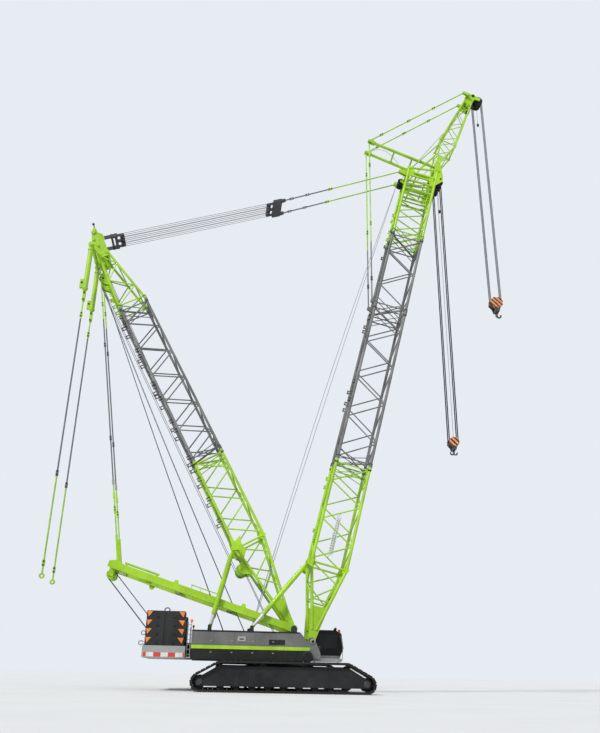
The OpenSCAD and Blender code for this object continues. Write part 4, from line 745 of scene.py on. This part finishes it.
# Mast head: dark slits, knobs, a small spike and the rear sheave that the hoist ropes leave from
slits = Piece("mast_head_slits", "mast", "dark")
for u, w in ((14.625, -0.02), (14.86, -0.02), (15.10, 0.02)):
    slits.block(MAST, (u - 0.014, u + 0.014), (-0.43, 0.43), (w - 0.01, w + 0.016), 0.003)
slits.rod(MAST(15.36, -0.465, 0.04), MAST(15.52, -0.465, 0.02), 0.018, 8)
slits.lathe(MAST(15.50, -0.465, 0.02), MAST(15.58, -0.465, 0.015), [(0, 0.02), (0.2, 0.045), (0.7, 0.045),
        (1, 0.02)], 12)
slits.done()
knobs = Piece("mast_head_knobs", "mast", "lime")
for sy in SIDES:
    for u, w, r in ((15.2, 0.14, 0.085), (14.92, 0.26, 0.06), (14.28, 0.0, 0.07), (14.62, 0.2, 0.05)):
        y0 = sy * 0.484
        knobs.lathe(MAST(u, y0 - sy * 0.01, w), MAST(u, y0 + sy * 0.045, w),
                    [(0, r), (0.6, r), (1, r * 0.7)], 20)
    for y in (sy * 0.26 - 0.06, sy * 0.26 + 0.06):
        knobs.plate(MAST, [(13.02, 0.36), (13.72, 0.30), (13.56, 0.60), (13.30, 0.66)], y - 0.01, y + 0.01,
                    0.003)
knobs.rod(MAST(13.12, -0.47, 0.41), MAST(13.12, 0.47, 0.41), 0.03, 12)
knobs.rod(MAST(13.62, -0.47, 0.36), MAST(13.62, 0.47, 0.36), 0.03, 12)
knobs.done()
rear = Piece("mast_rear_sheaves", "mast", "sheave")
for sy in SIDES:
    y = sy * 0.26
    rear.lathe(MAST(13.42, y - 0.035, 0.52), MAST(13.42, y + 0.035, 0.52),
               [(0, 0.15), (0.25, 0.148), (0.42, 0.125), (0.58, 0.125), (0.75, 0.148), (1, 0.15)], 32)
    rear.rod(MAST(13.42, y - 0.085, 0.52), MAST(13.42, y + 0.085, 0.52), 0.03, 14)
rear.done()

# Hoist ropes: from the winches up to the mast's and the boom's head
THIN_ROPE = 0.0085  # radius
WINCH_X, DRUM_Z, DRUM_R = (-0.20, -1.10, -1.75), 1.32, 0.19


def rope_between(piece, a, b, r, sag=(0.0, 0.0), steps=32):
    a, b = Vector(a), Vector(b)
    pts = []
    for i in range(steps + 1):
        t = i / steps
        p = a.lerp(b, t)
        bow = math.sin(math.pi * t)
        p.x -= sag[0] * bow
        p.z -= sag[1] * bow
        pts.append(p)
    piece.path(pts, r, 6)


# Each rope's name, its winch, its y at the drum and at the mast's head, and its u and w there
MAST_ROPES = (("mast_rope_rear", 2, 0.24, 0.2, 14.2, 0.5),
              ("mast_rope_middle", 1, 0.10, 0.26, 13.42, 0.655),
              ("mast_rope_front", 0, 0.16, 0.2, 14.1, 0.3))
for name, winch, y0, y1, u, w in MAST_ROPES:
    rope = Piece(name, "mast", "thin_rope")
    for sy in SIDES:
        drum = (WINCH_X[winch] + DRUM_R * 0.88, sy * y0, DRUM_Z + DRUM_R * 0.47)
        rope_between(rope, drum, MAST(u, sy * y1, w), THIN_ROPE, (0.04, 0.05))
    obj = rope.done()
    obj.parent = None
    tuple(MAST(7.5, 0.0, 0.6))
    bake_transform(obj)
guide_rope = Piece("mast_guide_rope", "mast", "thin_rope")
for sy in SIDES:
    guide_rope.rod(MAST(2.35, sy * 0.3, 0.745), MAST(13.36, sy * 0.3, 0.66), THIN_ROPE, 6)
guide_rope.done()
hoist = Piece("hoist_ropes", "boom", "pale_rope")
for sy, bow in ((-1, 0.04), (1, 0.15)):
    a = (WINCH_X[1] + DRUM_R * 0.9, sy * 0.26, DRUM_Z + DRUM_R * 0.42)
    rope_between(hoist, a, (rear_sheave[0] - 0.12, sy * 0.13, rear_sheave[1] + 0.03), 0.011, (bow, 0.02),
                 40)
hoist = hoist.done()
hoist.parent = None
tuple(BOOM(9.0, 0.0, 1.2))
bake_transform(hoist)

# Ropes over the boom's head, from the rear sheaves to the front ones, and up to the jib's tip
(rear_x, rear_z), (main_x, main_z), (aux_x, aux_z) = rear_sheave, main_sheave, aux_sheave
over = Piece("head_ropes", "boom", "thin_rope")
for y in (-0.13, 0.13):
    over.path([(rear_x - 0.09, y, rear_z + 0.09), (rear_x, y, rear_z + 0.13),
               (rear_x + 0.3, y * 0.9, rear_z + 0.10), (main_x, y * 0.5, main_z + 0.15)], 0.011, 6)
over.path([(rear_x - 0.125, 0.13, rear_z + 0.02), (rear_x - 0.11, 0.12, rear_z + 0.06),
           (aux_x - 0.16, 0.0, aux_z + 0.11), (aux_x - 0.11, 0.0, aux_z + 0.17)], THIN_ROPE, 6)
slack = ((2.74, 0.35, -0.05), (2.66, 0.35, -0.22), (2.45, 0.35, -0.42), (2.15, 0.35, -0.46),
         (1.85, 0.35, -0.36), (1.55, 0.36, -0.18), (1.42, 0.36, -0.05))
over.path([STRUT(*p) for p in slack], 0.007, 6)
over.done()


# Dark pins, and bright sleeves where asked, on the knuckles of the long stays
def knuckle_pins(piece, line, y, places, r):
    for u in places:
        for d in (-2.0 * r, 2.0 * r):
            piece.rod(line(u + d, y - 2.05 * r, 0), line(u + d, y + 2.05 * r, 0), r * 0.92, 12)


def sleeves(piece, line, y, places, r):
    for u in places:
        piece.block(line, (u - 3.6 * r, u + 3.6 * r), (y - 1.38 * r, y + 1.38 * r), (-1.62 * r, 1.62 * r),
                    0.006)


BACK = Line(strut_tip, heading(strut_tip, back_stay_foot))
FORE = Line(strut_tip, heading(strut_tip, jib_stay_pin))
GSTAY = Line(gantry_stay_top, heading(gantry_stay_top, gantry_stay_pin))
DROP = Line(ballast_pin, -90.0)
STAYS = (("pendant_pins", "boom_pendants", PENDANT, 0.415, (0.3, 0.95, 1.9), 0.024),
         ("back_stay_pins", "boom", BACK, 0.323, (1.15, 3.9, 6.3), 0.024),
         ("fore_stay_pins", "boom", FORE, 0.377, (0.62, 2.05, 3.4), 0.024),
         ("gantry_stay_pins", "mast", GSTAY, 0.38, (0.55, 1.55, 3.1, 6.4, 8.7), 0.022),
         ("ballast_stay_pins", "ballast_stays", DROP, 0.8, (2.05, 2.75, 8.2, 10.9), 0.026))
for name, body, line, y, places, r in STAYS:
    piece = Piece(name, body, "dark")
    for sy in SIDES:
        knuckle_pins(piece, line, sy * y, places, r)
    piece.done()
sleeve = Piece("pendant_sleeves", "boom_pendants", "pale", "bare_steel")
green = Piece("pendant_green_sleeves", "boom_pendants", "lime")
for sy in SIDES:
    sleeves(sleeve, PENDANT, sy * 0.415, (0.3, 0.95), 0.024)
    sleeves(green, PENDANT, sy * 0.415, (1.9,), 0.024)
all_done(sleeve, green)
sleeve = Piece("gantry_stay_sleeves", "mast", "pale", "bare_steel")
bars = Piece("gantry_stay_bars", "mast", "lime")
gstay_len = math.dist(gantry_stay_top, gantry_stay_pin)
for sy in SIDES:
    y = sy * 0.38
    sleeves(sleeve, GSTAY, y, (gstay_len - 2.62,), 0.022)
    sleeves(bars, GSTAY, y, (gstay_len - 2.2, gstay_len - 1.7), 0.022)
    for w in (-0.026, 0.026):
        bars.rod(GSTAY(gstay_len - 0.95, y, w), GSTAY(gstay_len - 0.12, y, w), 0.013, 10)
    bars.plate(GSTAY, [(gstay_len - 0.26, -0.045), (gstay_len - 0.08, -0.045), (gstay_len - 0.08, 0.045),
                       (gstay_len - 0.26, 0.045)], y - 0.018, y + 0.018, 0.004)
all_done(sleeve, bars)

# Ballast stays: side lugs on the cylinders and link plates below them
bl = Piece("ballast_stay_lugs", "ballast_stays", "lime")
bd = Piece("ballast_link_pins", "ballast_stays", "dark")
for sy in SIDES:
    y = sy * 0.8
    bl.lathe(DROP(1.74, y, 0), DROP(1.86, y, 0), [(0, 0.1), (0.3, 0.1), (1, 0.05)], 20)
    bl.lathe(DROP(0.12, y, 0), DROP(0.24, y, 0), [(0, 0.05), (0.7, 0.1), (1, 0.1)], 20)
    for d in (-0.045, 0.045):
        bl.plate(DROP, [(1.88, -0.045), (2.24, -0.045), (2.24, 0.045), (1.88, 0.045)], y + d - 0.01,
                 y + d + 0.01, 0.004)
    for u, w in ((1.55, -0.13), (1.93, 0), (2.19, 0)):
        bd.rod(DROP(u, y - 0.075, w), DROP(u, y + 0.075, w), 0.032, 12)
all_done(bl, bd)

# Jib: braces down to the boom's head, dark weights at its tip
jb = Piece("jib_braces", "boom", "lime")
for sy in SIDES:
    jb.rod(JIB(1.15, sy * 0.43, 0.30), BOOM(HEAD_U + 0.02, sy * 0.5, BOOM_HALF - 0.06), 0.026, 10)
    jb.rod(JIB(0.75, sy * 0.46, 0.16), BOOM(HEAD_U + 0.05, sy * 0.52, BOOM_HALF - 0.35), 0.018, 8)
jb.done()
jt = Piece("jib_tip_weights", "boom", "dark")
for sy in SIDES:
    jt.lathe(JIB(4.47, sy * 0.28 - 0.03, -0.08), JIB(4.47, sy * 0.28 + 0.03, -0.08),
             [(0, 0.05), (0.3, 0.07), (0.7, 0.07), (1, 0.05)], 18)
    jt.block(JIB, (3.86, 4.05), (sy * 0.2 - 0.02, sy * 0.2 + 0.02), (-0.24, -0.10), 0.006)
jt.rod(JIB(3.95, -0.2, -0.2), JIB(3.95, 0.2, -0.2), 0.03, 12)
jt.done()


# Ropes drawn from the model's own form, as copies that take the place of the model's nodes
def stretched(node_name, end):
    source = nodes[node_name]
    mesh = source.data.copy()
    mesh.transform(source.matrix_world)
    obj = bpy.data.objects.new(node_name + "_drawn", mesh)
    scene.collection.objects.link(obj)
    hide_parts(node_name)
    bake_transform(obj)


bpy.context.view_layer.update()
stretched("main_falls", (main_x, 0, MAIN_HOOK_Z))
stretched("aux_falls", (aux_x, 0, AUX_HOOK_Z))
stretched("gantry_ropes", tuple(GANTRY(5.6, 0.0, 0.25)))


# Further strands beside the model's own falls
def follow_hook(piece):
    obj = piece.done()
    obj.parent = None
    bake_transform(obj)


FALLS = (("main", main_sheave, MAIN_HOOK_R + 0.014, MAIN_HOOK_Z, 0.115, 0.010, "rope"),
         ("aux", aux_sheave, AUX_HOOK_R + 0.014, AUX_HOOK_Z, 0.085, 0.013, "aux_rope"))
for name, sheave_at, r, low, reach, thick, finish in FALLS:
    strands = Piece(name + "_fall_strands", name + "_falls", finish, "rope_steel")
    for sx in SIDES:
        for y in (-reach, reach):
            x = sheave_at[0] + sx * r
            strands.rod((x, y, low), (x, y, sheave_at[1]), thick, 6)
    follow_hook(strands)
LINE_LOW, LINE_TOP = 8.05, main_z - 0.1
line = Piece("main_fall_line", "main_falls", "pale_rope")
line.rod((main_x + 0.02, 0.0, LINE_LOW), (main_x + 0.02, 0.0, LINE_TOP), 0.010, 6)
follow_hook(line)

# Limit switch weights on thin lines beside the falls
for name, body, x, y, z, top in (("main_limit_weight", "main_falls", main_x + 0.02, -0.1, 17.39, main_z),
                                 ("aux_limit_weight", "aux_falls", aux_x - 0.11, -0.21, 21.82, aux_z)):
    tb = Piece(name, body, "dark")
    tb.lathe((x, y, z - 0.07), (x, y, z + 0.07), [(0, 0.025), (0.15, 0.045), (0.85, 0.045), (1, 0.02)], 14)
    tb.rod((x, y, z), (x, y, top - 0.05), 0.005, 6)
    tb.done()

# Hook blocks: rope guards, cheek bolts and the collar of the hook's shank
HOOK_BLOCKS = (("main_block_fittings", "main_hook", main_x, MAIN_HOOK_Z, MAIN_HOOK_R, MAIN_HOOK_HALF),
               ("aux_block_fittings", "aux_hook", aux_x, AUX_HOOK_Z, AUX_HOOK_R, AUX_HOOK_HALF))
for name, body, x, z, r, half in HOOK_BLOCKS:
    hb = Piece(name, body, "block")
    for a, b in ((-0.95, 0.55), (0.95, 0.55), (-0.95, -0.45), (0.95, -0.45), (0.0, -0.98)):
        hb.rod((x + a * r, -half - 0.02, z + b * r), (x + a * r, half + 0.02, z + b * r), r * 0.09, 10)
    hb.lathe((x, 0, z - r * 2.02), (x, 0, z - r * 2.16), [(0, r * 0.4), (0.8, r * 0.4), (1, r * 0.3)], 20)
    hb.done()

# Counterweights: warning triangles at their edges, lifting eyes and tape on the tray
SX0, SLAB_LEN, SLAB_Y1, SLAB_W, SLAB_T, SLAB_Z = -3.87, 1.08, 1.52, 0.65, 0.23, 1.15
SX1 = SX0 + SLAB_LEN
tri = Piece("slab_triangles", "upper", "orange")
lug = Piece("slab_lugs", "upper", "dark", "slab_iron")
for i in range(4):
    z = SLAB_Z + (i + 1) * SLAB_T - 0.018
    for sy in SIDES:
        side = span(sy, SLAB_Y1, SLAB_Y1 + 0.004)
        tri.plate(WORLD, [(SX0 + 0.015, z), (SX0 + 0.165, z), (SX0 + 0.05, z - 0.15)], *side)
        tri.plate(WORLD, [(SX1 - 0.185, z), (SX1 - 0.015, z), (SX1 - 0.06, z - 0.15)], *side)
        for y, d in ((sy * (SLAB_Y1 - 0.015), -sy), (sy * (SLAB_Y1 - SLAB_W + 0.015), sy)):
            g = bmesh.new()
            corners = ((y, z), (y + d * 0.16, z), (y + d * 0.04, z - 0.15))
            vs = [g.verts.new((SX0 - 0.004, a, b)) for a, b in corners]
            ext = bmesh.ops.extrude_face_region(g, geom=[g.faces.new(vs)])
            moved = [v for v in ext["geom"] if isinstance(v, bmesh.types.BMVert)]
            bmesh.ops.translate(g, vec=(0.003, 0, 0), verts=moved)
            tri.add(g, Matrix.Identity(4))
for sy in SIDES:
    x, y, z = SX0 + SLAB_LEN / 2, sy * (SLAB_Y1 - SLAB_W / 2), SLAB_Z + 4 * SLAB_T
    arch = ((-0.07, -0.01), (-0.07, 0.07), (-0.03, 0.1), (0.03, 0.1), (0.07, 0.07), (0.07, -0.01))
    lug.path([(x + a, y, z + b) for a, b in arch], 0.016, 8)
all_done(tri, lug)
eyes = Piece("rear_lifting_eyes", "upper", "pale")
for sy in SIDES:
    for z, x in ((1.485, SX0), (1.22, SX0 - 0.05)):
        y = sy * 1.30
        ring = [(x - 0.07 - 0.055 * math.cos(math.radians(a)), y,
                 z + 0.055 * math.sin(math.radians(a))) for a in range(-150, 151, 25)]
        eyes.path([(x + 0.01, y, z - 0.028)] + ring + [(x + 0.01, y, z + 0.028)], 0.015, 8)
eyes.done()
tape_side = Piece("tape_side", "upper", "tape_x")
tape_rear = Piece("tape_rear", "upper", "tape")
for sy in SIDES:
    side = span(sy, SLAB_Y1, SLAB_Y1 + 0.004)
    tape_side.box((SX0 - 0.01, SX1 + 0.03), side, (0.865, 0.975))
tape_rear.box((SX0 - 0.054, SX0 - 0.05), (-SLAB_Y1 + 0.02, SLAB_Y1 - 0.02), (0.865, 0.905))
all_done(tape_side, tape_rear)

# Side housings: the lime band, a vent box, a front fairing, roof grilles and handles
HX0, HZ0, HH, HY = -2.585, 0.82, 0.76, 1.5
FAIRING = ((0.335, 0.82), (0.58, 0.82), (0.76, 1.10), (0.76, 1.24), (0.50, 1.575), (0.155, 1.58),
           (0.415, 1.06))
band = Piece("housing_bands", "upper", "lime")
front = Piece("housing_fairings", "upper", "housing")
vent = Piece("housing_vents", "upper", "pale")
slat = Piece("housing_grilles", "upper", "dark")
hdl = Piece("housing_handles", "upper", "steel")
for sy in SIDES:
    face = span(sy, HY - 0.002, HY + 0.006)
    front.plate(WORLD, FAIRING, *span(sy, 1.01, HY - 0.002), 0.008)
    band.box((HX0 + 0.005, 0.745), face, (1.10, 1.19))
    band.box((0.74, 0.766), span(sy, 1.02, HY + 0.004), (1.125, 1.19), 0.004)
    vent.box((-1.30, -1.06), span(sy, HY, HY + 0.022), (1.30, 1.44), 0.01)
    slat.box((-1.24, -1.12), span(sy, HY + 0.02, HY + 0.026), (1.355, 1.385), 0.004)
    slat.box((-0.41, 0.05), span(sy, HY, HY + 0.005), (1.235, 1.375), 0.002)
    slat.box((HX0 + 0.01, 0.47), span(sy, 1.02, HY + 0.004), (HZ0 + HH - 0.028, HZ0 + HH + 0.012), 0.005)
    for k in range(9):
        x = HX0 + 0.3 + k * 0.14
        slat.box((x, x + 0.1), span(sy, 1.08, 1.40), (HZ0 + HH + 0.01, HZ0 + HH + 0.018), 0.002)
    slat.lathe((0.70, sy * 1.20, 0.94), (0.70, sy * (HY + 0.012), 0.94),
               [(0, 0.12), (0.1, 0.15), (0.93, 0.15), (1, 0.12)], 28)
    for k in range(4):
        x = HX0 + 0.04 + (k + 1) * 0.58
        hdl.box((x - 0.09, x - 0.04), span(sy, HY - 0.002, HY + 0.012), (1.30, 1.325), 0.003)
        hdl.box((x - 0.09, x - 0.04), span(sy, HY - 0.002, HY + 0.012), (1.0, 1.025), 0.003)
all_done(band, front, vent, slat, hdl)

# Ladders and their grab rails between the housings and the counterweights
ladder = Piece("side_ladders", "upper", "pale")
for sy in SIDES:
    y = sy * (HY - 0.08)
    for x, z in ((-2.70, 1.80), (-2.61, 1.80)):
        ladder.rod((x, y, 0.86), (x, y, z), 0.012, 8)
    for k in range(7):
        ladder.rod((-2.70, y, 0.94 + k * 0.13), (-2.61, y, 0.94 + k * 0.13), 0.009, 8)
    ladder.box((-2.73, -2.57), span(sy, 1.0, HY - 0.02), (0.84, 0.87), 0.004)
ladder.done()
cap = Piece("ladder_lamps", "upper", "orange")
for sy in SIDES:
    cap.lathe((-2.61, sy * (HY - 0.08), 1.79), (-2.61, sy * (HY - 0.08), 1.87),
              [(0, 0.03), (0.2, 0.036), (0.8, 0.034), (1, 0.015)], 16)
cap.done()

# Main frame: grating, pipes, front brackets at the boom's foot, lamps
grate = Piece("deck_grating", "upper", "deck")
for sy in SIDES:
    for k in range(34):
        x = -2.55 + k * 0.085
        grate.box((x, x + 0.012), span(sy, 0.83, 0.99), (1.24, 1.262), 0.0)
grate.done()
pipes = Piece("deck_pipes", "upper", "rubber")
for k in range(6):
    y = -0.3 + k * 0.06
    run = ((-2.6 + 0.02 * k, y, 1.02), (-2.2, y * 0.9, 1.0), (-1.6, y * 0.8, 0.99), (-0.9, y, 0.99),
           (-0.2, y * 1.1, 0.985), (0.4, y, 0.985))
    pipes.path(run, 0.014, 8)
pipes.done()
bracket = Piece("boom_foot_brackets", "upper", "grey")
foot_cap = Piece("boom_foot_pins", "upper", "dark")
ring = Piece("boom_foot_rings", "upper", "pale")
for sy in SIDES:
    y = sy * 0.865
    bracket.plate(WORLD, [(0.56, 0.90), (1.16, 0.90), (1.15, 1.06), (1.03, 1.34), (0.97, 1.46),
                          (0.86, 1.46), (0.78, 1.30), (0.62, 1.27)], y - 0.015, y + 0.015, 0.004)
    ring.lathe((0.92, y + sy * 0.01, 1.375), (0.92, y + sy * 0.045, 1.375),
               [(0, 0.08), (0.7, 0.08), (1, 0.06)], 24)
    foot_cap.lathe((0.92, y + sy * 0.04, 1.375), (0.92, y + sy * 0.055, 1.375),
                   [(0, 0.04), (0.7, 0.04), (1, 0.03)], 20)
all_done(bracket, ring, foot_cap)
lampset = Piece("work_lamps", "upper", "lamp")
housing_l = Piece("lamp_housings", "upper", "dark")
for x, y, z, d in ((1.93, 1.28, 1.83, 1), (1.9, 0.98, 1.83, 1), (-3.9, 1.3, 1.12, -1),
                   (-3.9, -1.3, 1.12, -1)):
    housing_l.lathe((x - d * 0.05, y, z), (x + d * 0.02, y, z), [(0, 0.02), (0.4, 0.05), (1, 0.055)], 20)
    lampset.lathe((x + d * 0.02, y, z), (x + d * 0.03, y, z), [(0, 0.05), (1, 0.046)], 20)
all_done(lampset, housing_l)

# Cab: beacon, guard bars, a mirror, a wiper, grab rails, controls, the door's window and its handle
CX0, CX1, CY0, CY1, CF, CZ1 = 1.25, 2.13, 0.86, 1.34, 0.96, 1.78
beacon = Piece("beacon", "upper", "red")
beacon.lathe((2.0, 0.90, 1.71), (2.0, 0.90, 1.82),
             [(0, 0.048), (0.15, 0.048), (0.2, 0.04), (0.8, 0.038), (1, 0.02)], 20)
beacon.done()
cabt = Piece("cab_trim", "upper", "dark")
for y in (CY0 + 0.06, CY1 - 0.06):
    cabt.rod((CX1 - 0.01, y, CF + 0.30), (CX1 - 0.065, y, CZ1 - 0.11), 0.012, 8)
cabt.rod((CX1, CY0 + 0.04, CF + 0.30), (CX1, CY1 - 0.04, CF + 0.30), 0.012, 8)
for k in range(7):
    y = CY0 + 0.08 + k * 0.053
    cabt.rod((CX0 + 0.15, y, CZ1 + 0.012), (CX1 - 0.24, y, CZ1 + 0.012), 0.006, 6)
for x in (CX0 + 0.15, CX1 - 0.24):
    cabt.rod((x, CY0 + 0.06, CZ1 + 0.008), (x, CY1 - 0.06, CZ1 + 0.008), 0.007, 6)
cabt.path([(CX1 + 0.02, CY0 + 0.2, CF + 0.36), (CX1 + 0.005, CY0 + 0.22, CF + 0.5),
           (CX1 - 0.03, CY0 + 0.26, CF + 0.66)], 0.006, 6)
cabt.path([(CX1 - 0.14, CY1 - 0.01, CZ1 - 0.2), (CX1 - 0.02, CY1 + 0.12, CZ1 - 0.2),
           (CX1 - 0.03, CY1 + 0.13, CZ1 - 0.3)], 0.008, 6)
cabt.box((CX1 - 0.05, CX1 - 0.02), (CY1 + 0.08, CY1 + 0.18), (CZ1 - 0.38, CZ1 - 0.18), 0.008)
for x in (CX0 + 0.02, CX1 - 0.1):
    cabt.rod((x, CY1 - 0.02, 0.86), (x, CY1 + 0.02, 0.86), 0.02, 8)
cabt.done()
rail = Piece("cab_grab_rails", "upper", "pale")
for y in (CY0 - 0.02, CY1 + 0.05):
    x = CX1 - 0.045
    rail.path([(x - 0.04, CY0 + 0.02 if y < CY0 else CY1 - 0.02, 0.885), (x, y, 0.90), (x + 0.02, y, 1.26),
               (x - 0.03, y, 1.60), (x - 0.06, CY0 + 0.01 if y < CY0 else CY1 - 0.01, 1.63)], 0.011, 8)
for k in range(5):
    z = 0.975 + k * 0.013
    rail.box((CX0 + 0.06, CX1 - 0.2), (CY0 - 0.004, CY0 + 0.002), (z, z + 0.005), 0.0)
rail.done()
inside = Piece("cab_controls", "upper", "rubber")
for y0, y1 in ((CY0 + 0.05, CY0 + 0.12), (CY1 - 0.12, CY1 - 0.05)):
    inside.box((CX0 + 0.3, CX0 + 0.62), (y0, y1), (CF + 0.22, CF + 0.34), 0.015)
    inside.box((CX0 + 0.36, CX0 + 0.5), (y0 + 0.015, y1 - 0.015), (CF + 0.02, CF + 0.23), 0.01)
for y in (CY0 + 0.085, CY1 - 0.085):
    inside.rod((CX0 + 0.55, y, CF + 0.33), (CX0 + 0.57, y, CF + 0.44), 0.01, 8)
    inside.lathe((CX0 + 0.57, y, CF + 0.43), (CX0 + 0.573, y, CF + 0.47),
                 [(0, 0.012), (0.4, 0.02), (1, 0.01)], 12)
inside.box((CX1 - 0.26, CX1 - 0.2), (CY0 + 0.15, CY0 + 0.3), (CF + 0.32, CF + 0.45), 0.01)
inside.rod((CX1 - 0.23, CY0 + 0.22, CF + 0.02), (CX1 - 0.23, CY0 + 0.22, CF + 0.33), 0.012, 8)
inside.done()
pane = Piece("door_window", "cab_door", "glass")
pane.box((CX0 + 0.435, CX1 - 0.195), (CY1 + 0.014, CY1 + 0.020), (CF + 0.215, CZ1 - 0.135))
pane.done()
knob = Piece("door_handle", "cab_door", "steel")
hy = CY1 + 0.031
knob.path([(1.72, hy, CF + 0.14), (1.72, hy + 0.019, CF + 0.16), (1.72, hy + 0.019, CF + 0.28),
           (1.72, hy, CF + 0.3)], 0.008, 8)
knob.done()

# Tracks: access covers on the frames and hub caps
belt = Piece("track_frame_covers", "undercarriage", "dark")
hub = Piece("track_hubs", "undercarriage", "block")
for sy in SIDES:
    for s in SIDES:
        y = sy * 1.8 + s * 0.165
        for k in range(8):
            x = -1.7 + k * 0.486
            belt.rod((x, y, 0.5), (x, y + s * 0.012, 0.5), 0.07, 18)
            belt.rod((x, y + s * 0.012, 0.5), (x, y + s * 0.02, 0.5), 0.025, 8)
        for x in (-2.3, 2.3):
            hub.lathe((x, y, 0.25), (x, y + s * 0.05, 0.25), [(0, 0.1), (0.5, 0.1), (0.8, 0.07), (1, 0.07)],
                      24)
all_done(belt, hub)

# Floor, backdrop and light
floor_mesh = bpy.data.meshes.new("floor")
floor_mesh.from_pydata([(-150, -150, 0), (150, -150, 0), (150, 150, 0), (-150, 150, 0)], [], [(0, 1, 2, 3)])
floor = bpy.data.objects.new("floor", floor_mesh)
scene.collection.objects.link(floor)
fm, fnt, fb, fco = new_material("floor_pale")
fcol = mixed(fnt, patches(fnt, fco, 0.6, 3.0), (0.70, 0.70, 0.695), (0.74, 0.74, 0.735))
tint(fnt, fb, fcol)
fb.inputs["Roughness"].default_value = 0.85
floor_mesh.materials.append(fm)

world = bpy.data.worlds.new("studio")
scene.world = world
world.use_nodes = True
wnt = world.node_tree
wnt.nodes.clear()
out = node(wnt, "ShaderNodeOutputWorld")
soft = node(wnt, "ShaderNodeBackground", Color=(0.80, 0.86, 0.94, 1.0), Strength=0.60)
shown = node(wnt, "ShaderNodeBackground", Color=(0.80, 0.84, 0.89, 1.0), Strength=1.0)
lp = node(wnt, "ShaderNodeLightPath")
mx = node(wnt, "ShaderNodeMixShader")
anyray = node(wnt, "ShaderNodeMath", operation="MAXIMUM")
wnt.links.new(lp.outputs["Is Camera Ray"], anyray.inputs[0])
wnt.links.new(lp.outputs["Is Glossy Ray"], anyray.inputs[1])
wnt.links.new(anyray.outputs[0], mx.inputs[0])
wnt.links.new(soft.outputs[0], mx.inputs[1])
wnt.links.new(shown.outputs[0], mx.inputs[2])
wnt.links.new(mx.outputs[0], out.inputs["Surface"])


def sun(name, strength, angle, direction, rgb=(1, 1, 1)):
    d = bpy.data.lights.new(name, "SUN")
    d.energy = strength
    d.angle = math.radians(angle)
    d.color = rgb
    o = bpy.data.objects.new(name, d)
    o.rotation_mode = "QUATERNION"
    o.rotation_quaternion = Vector(direction).to_track_quat("-Z", "Y")
    scene.collection.objects.link(o)


sun("key", 2.7, 10.0, (0.55, 0.62, -0.72), (1.0, 0.98, 0.94))
sun("fill", 0.5, 60.0, (-0.8, 0.5, -0.25), (0.92, 0.96, 1.0))

scene.view_settings.view_transform = "Standard"
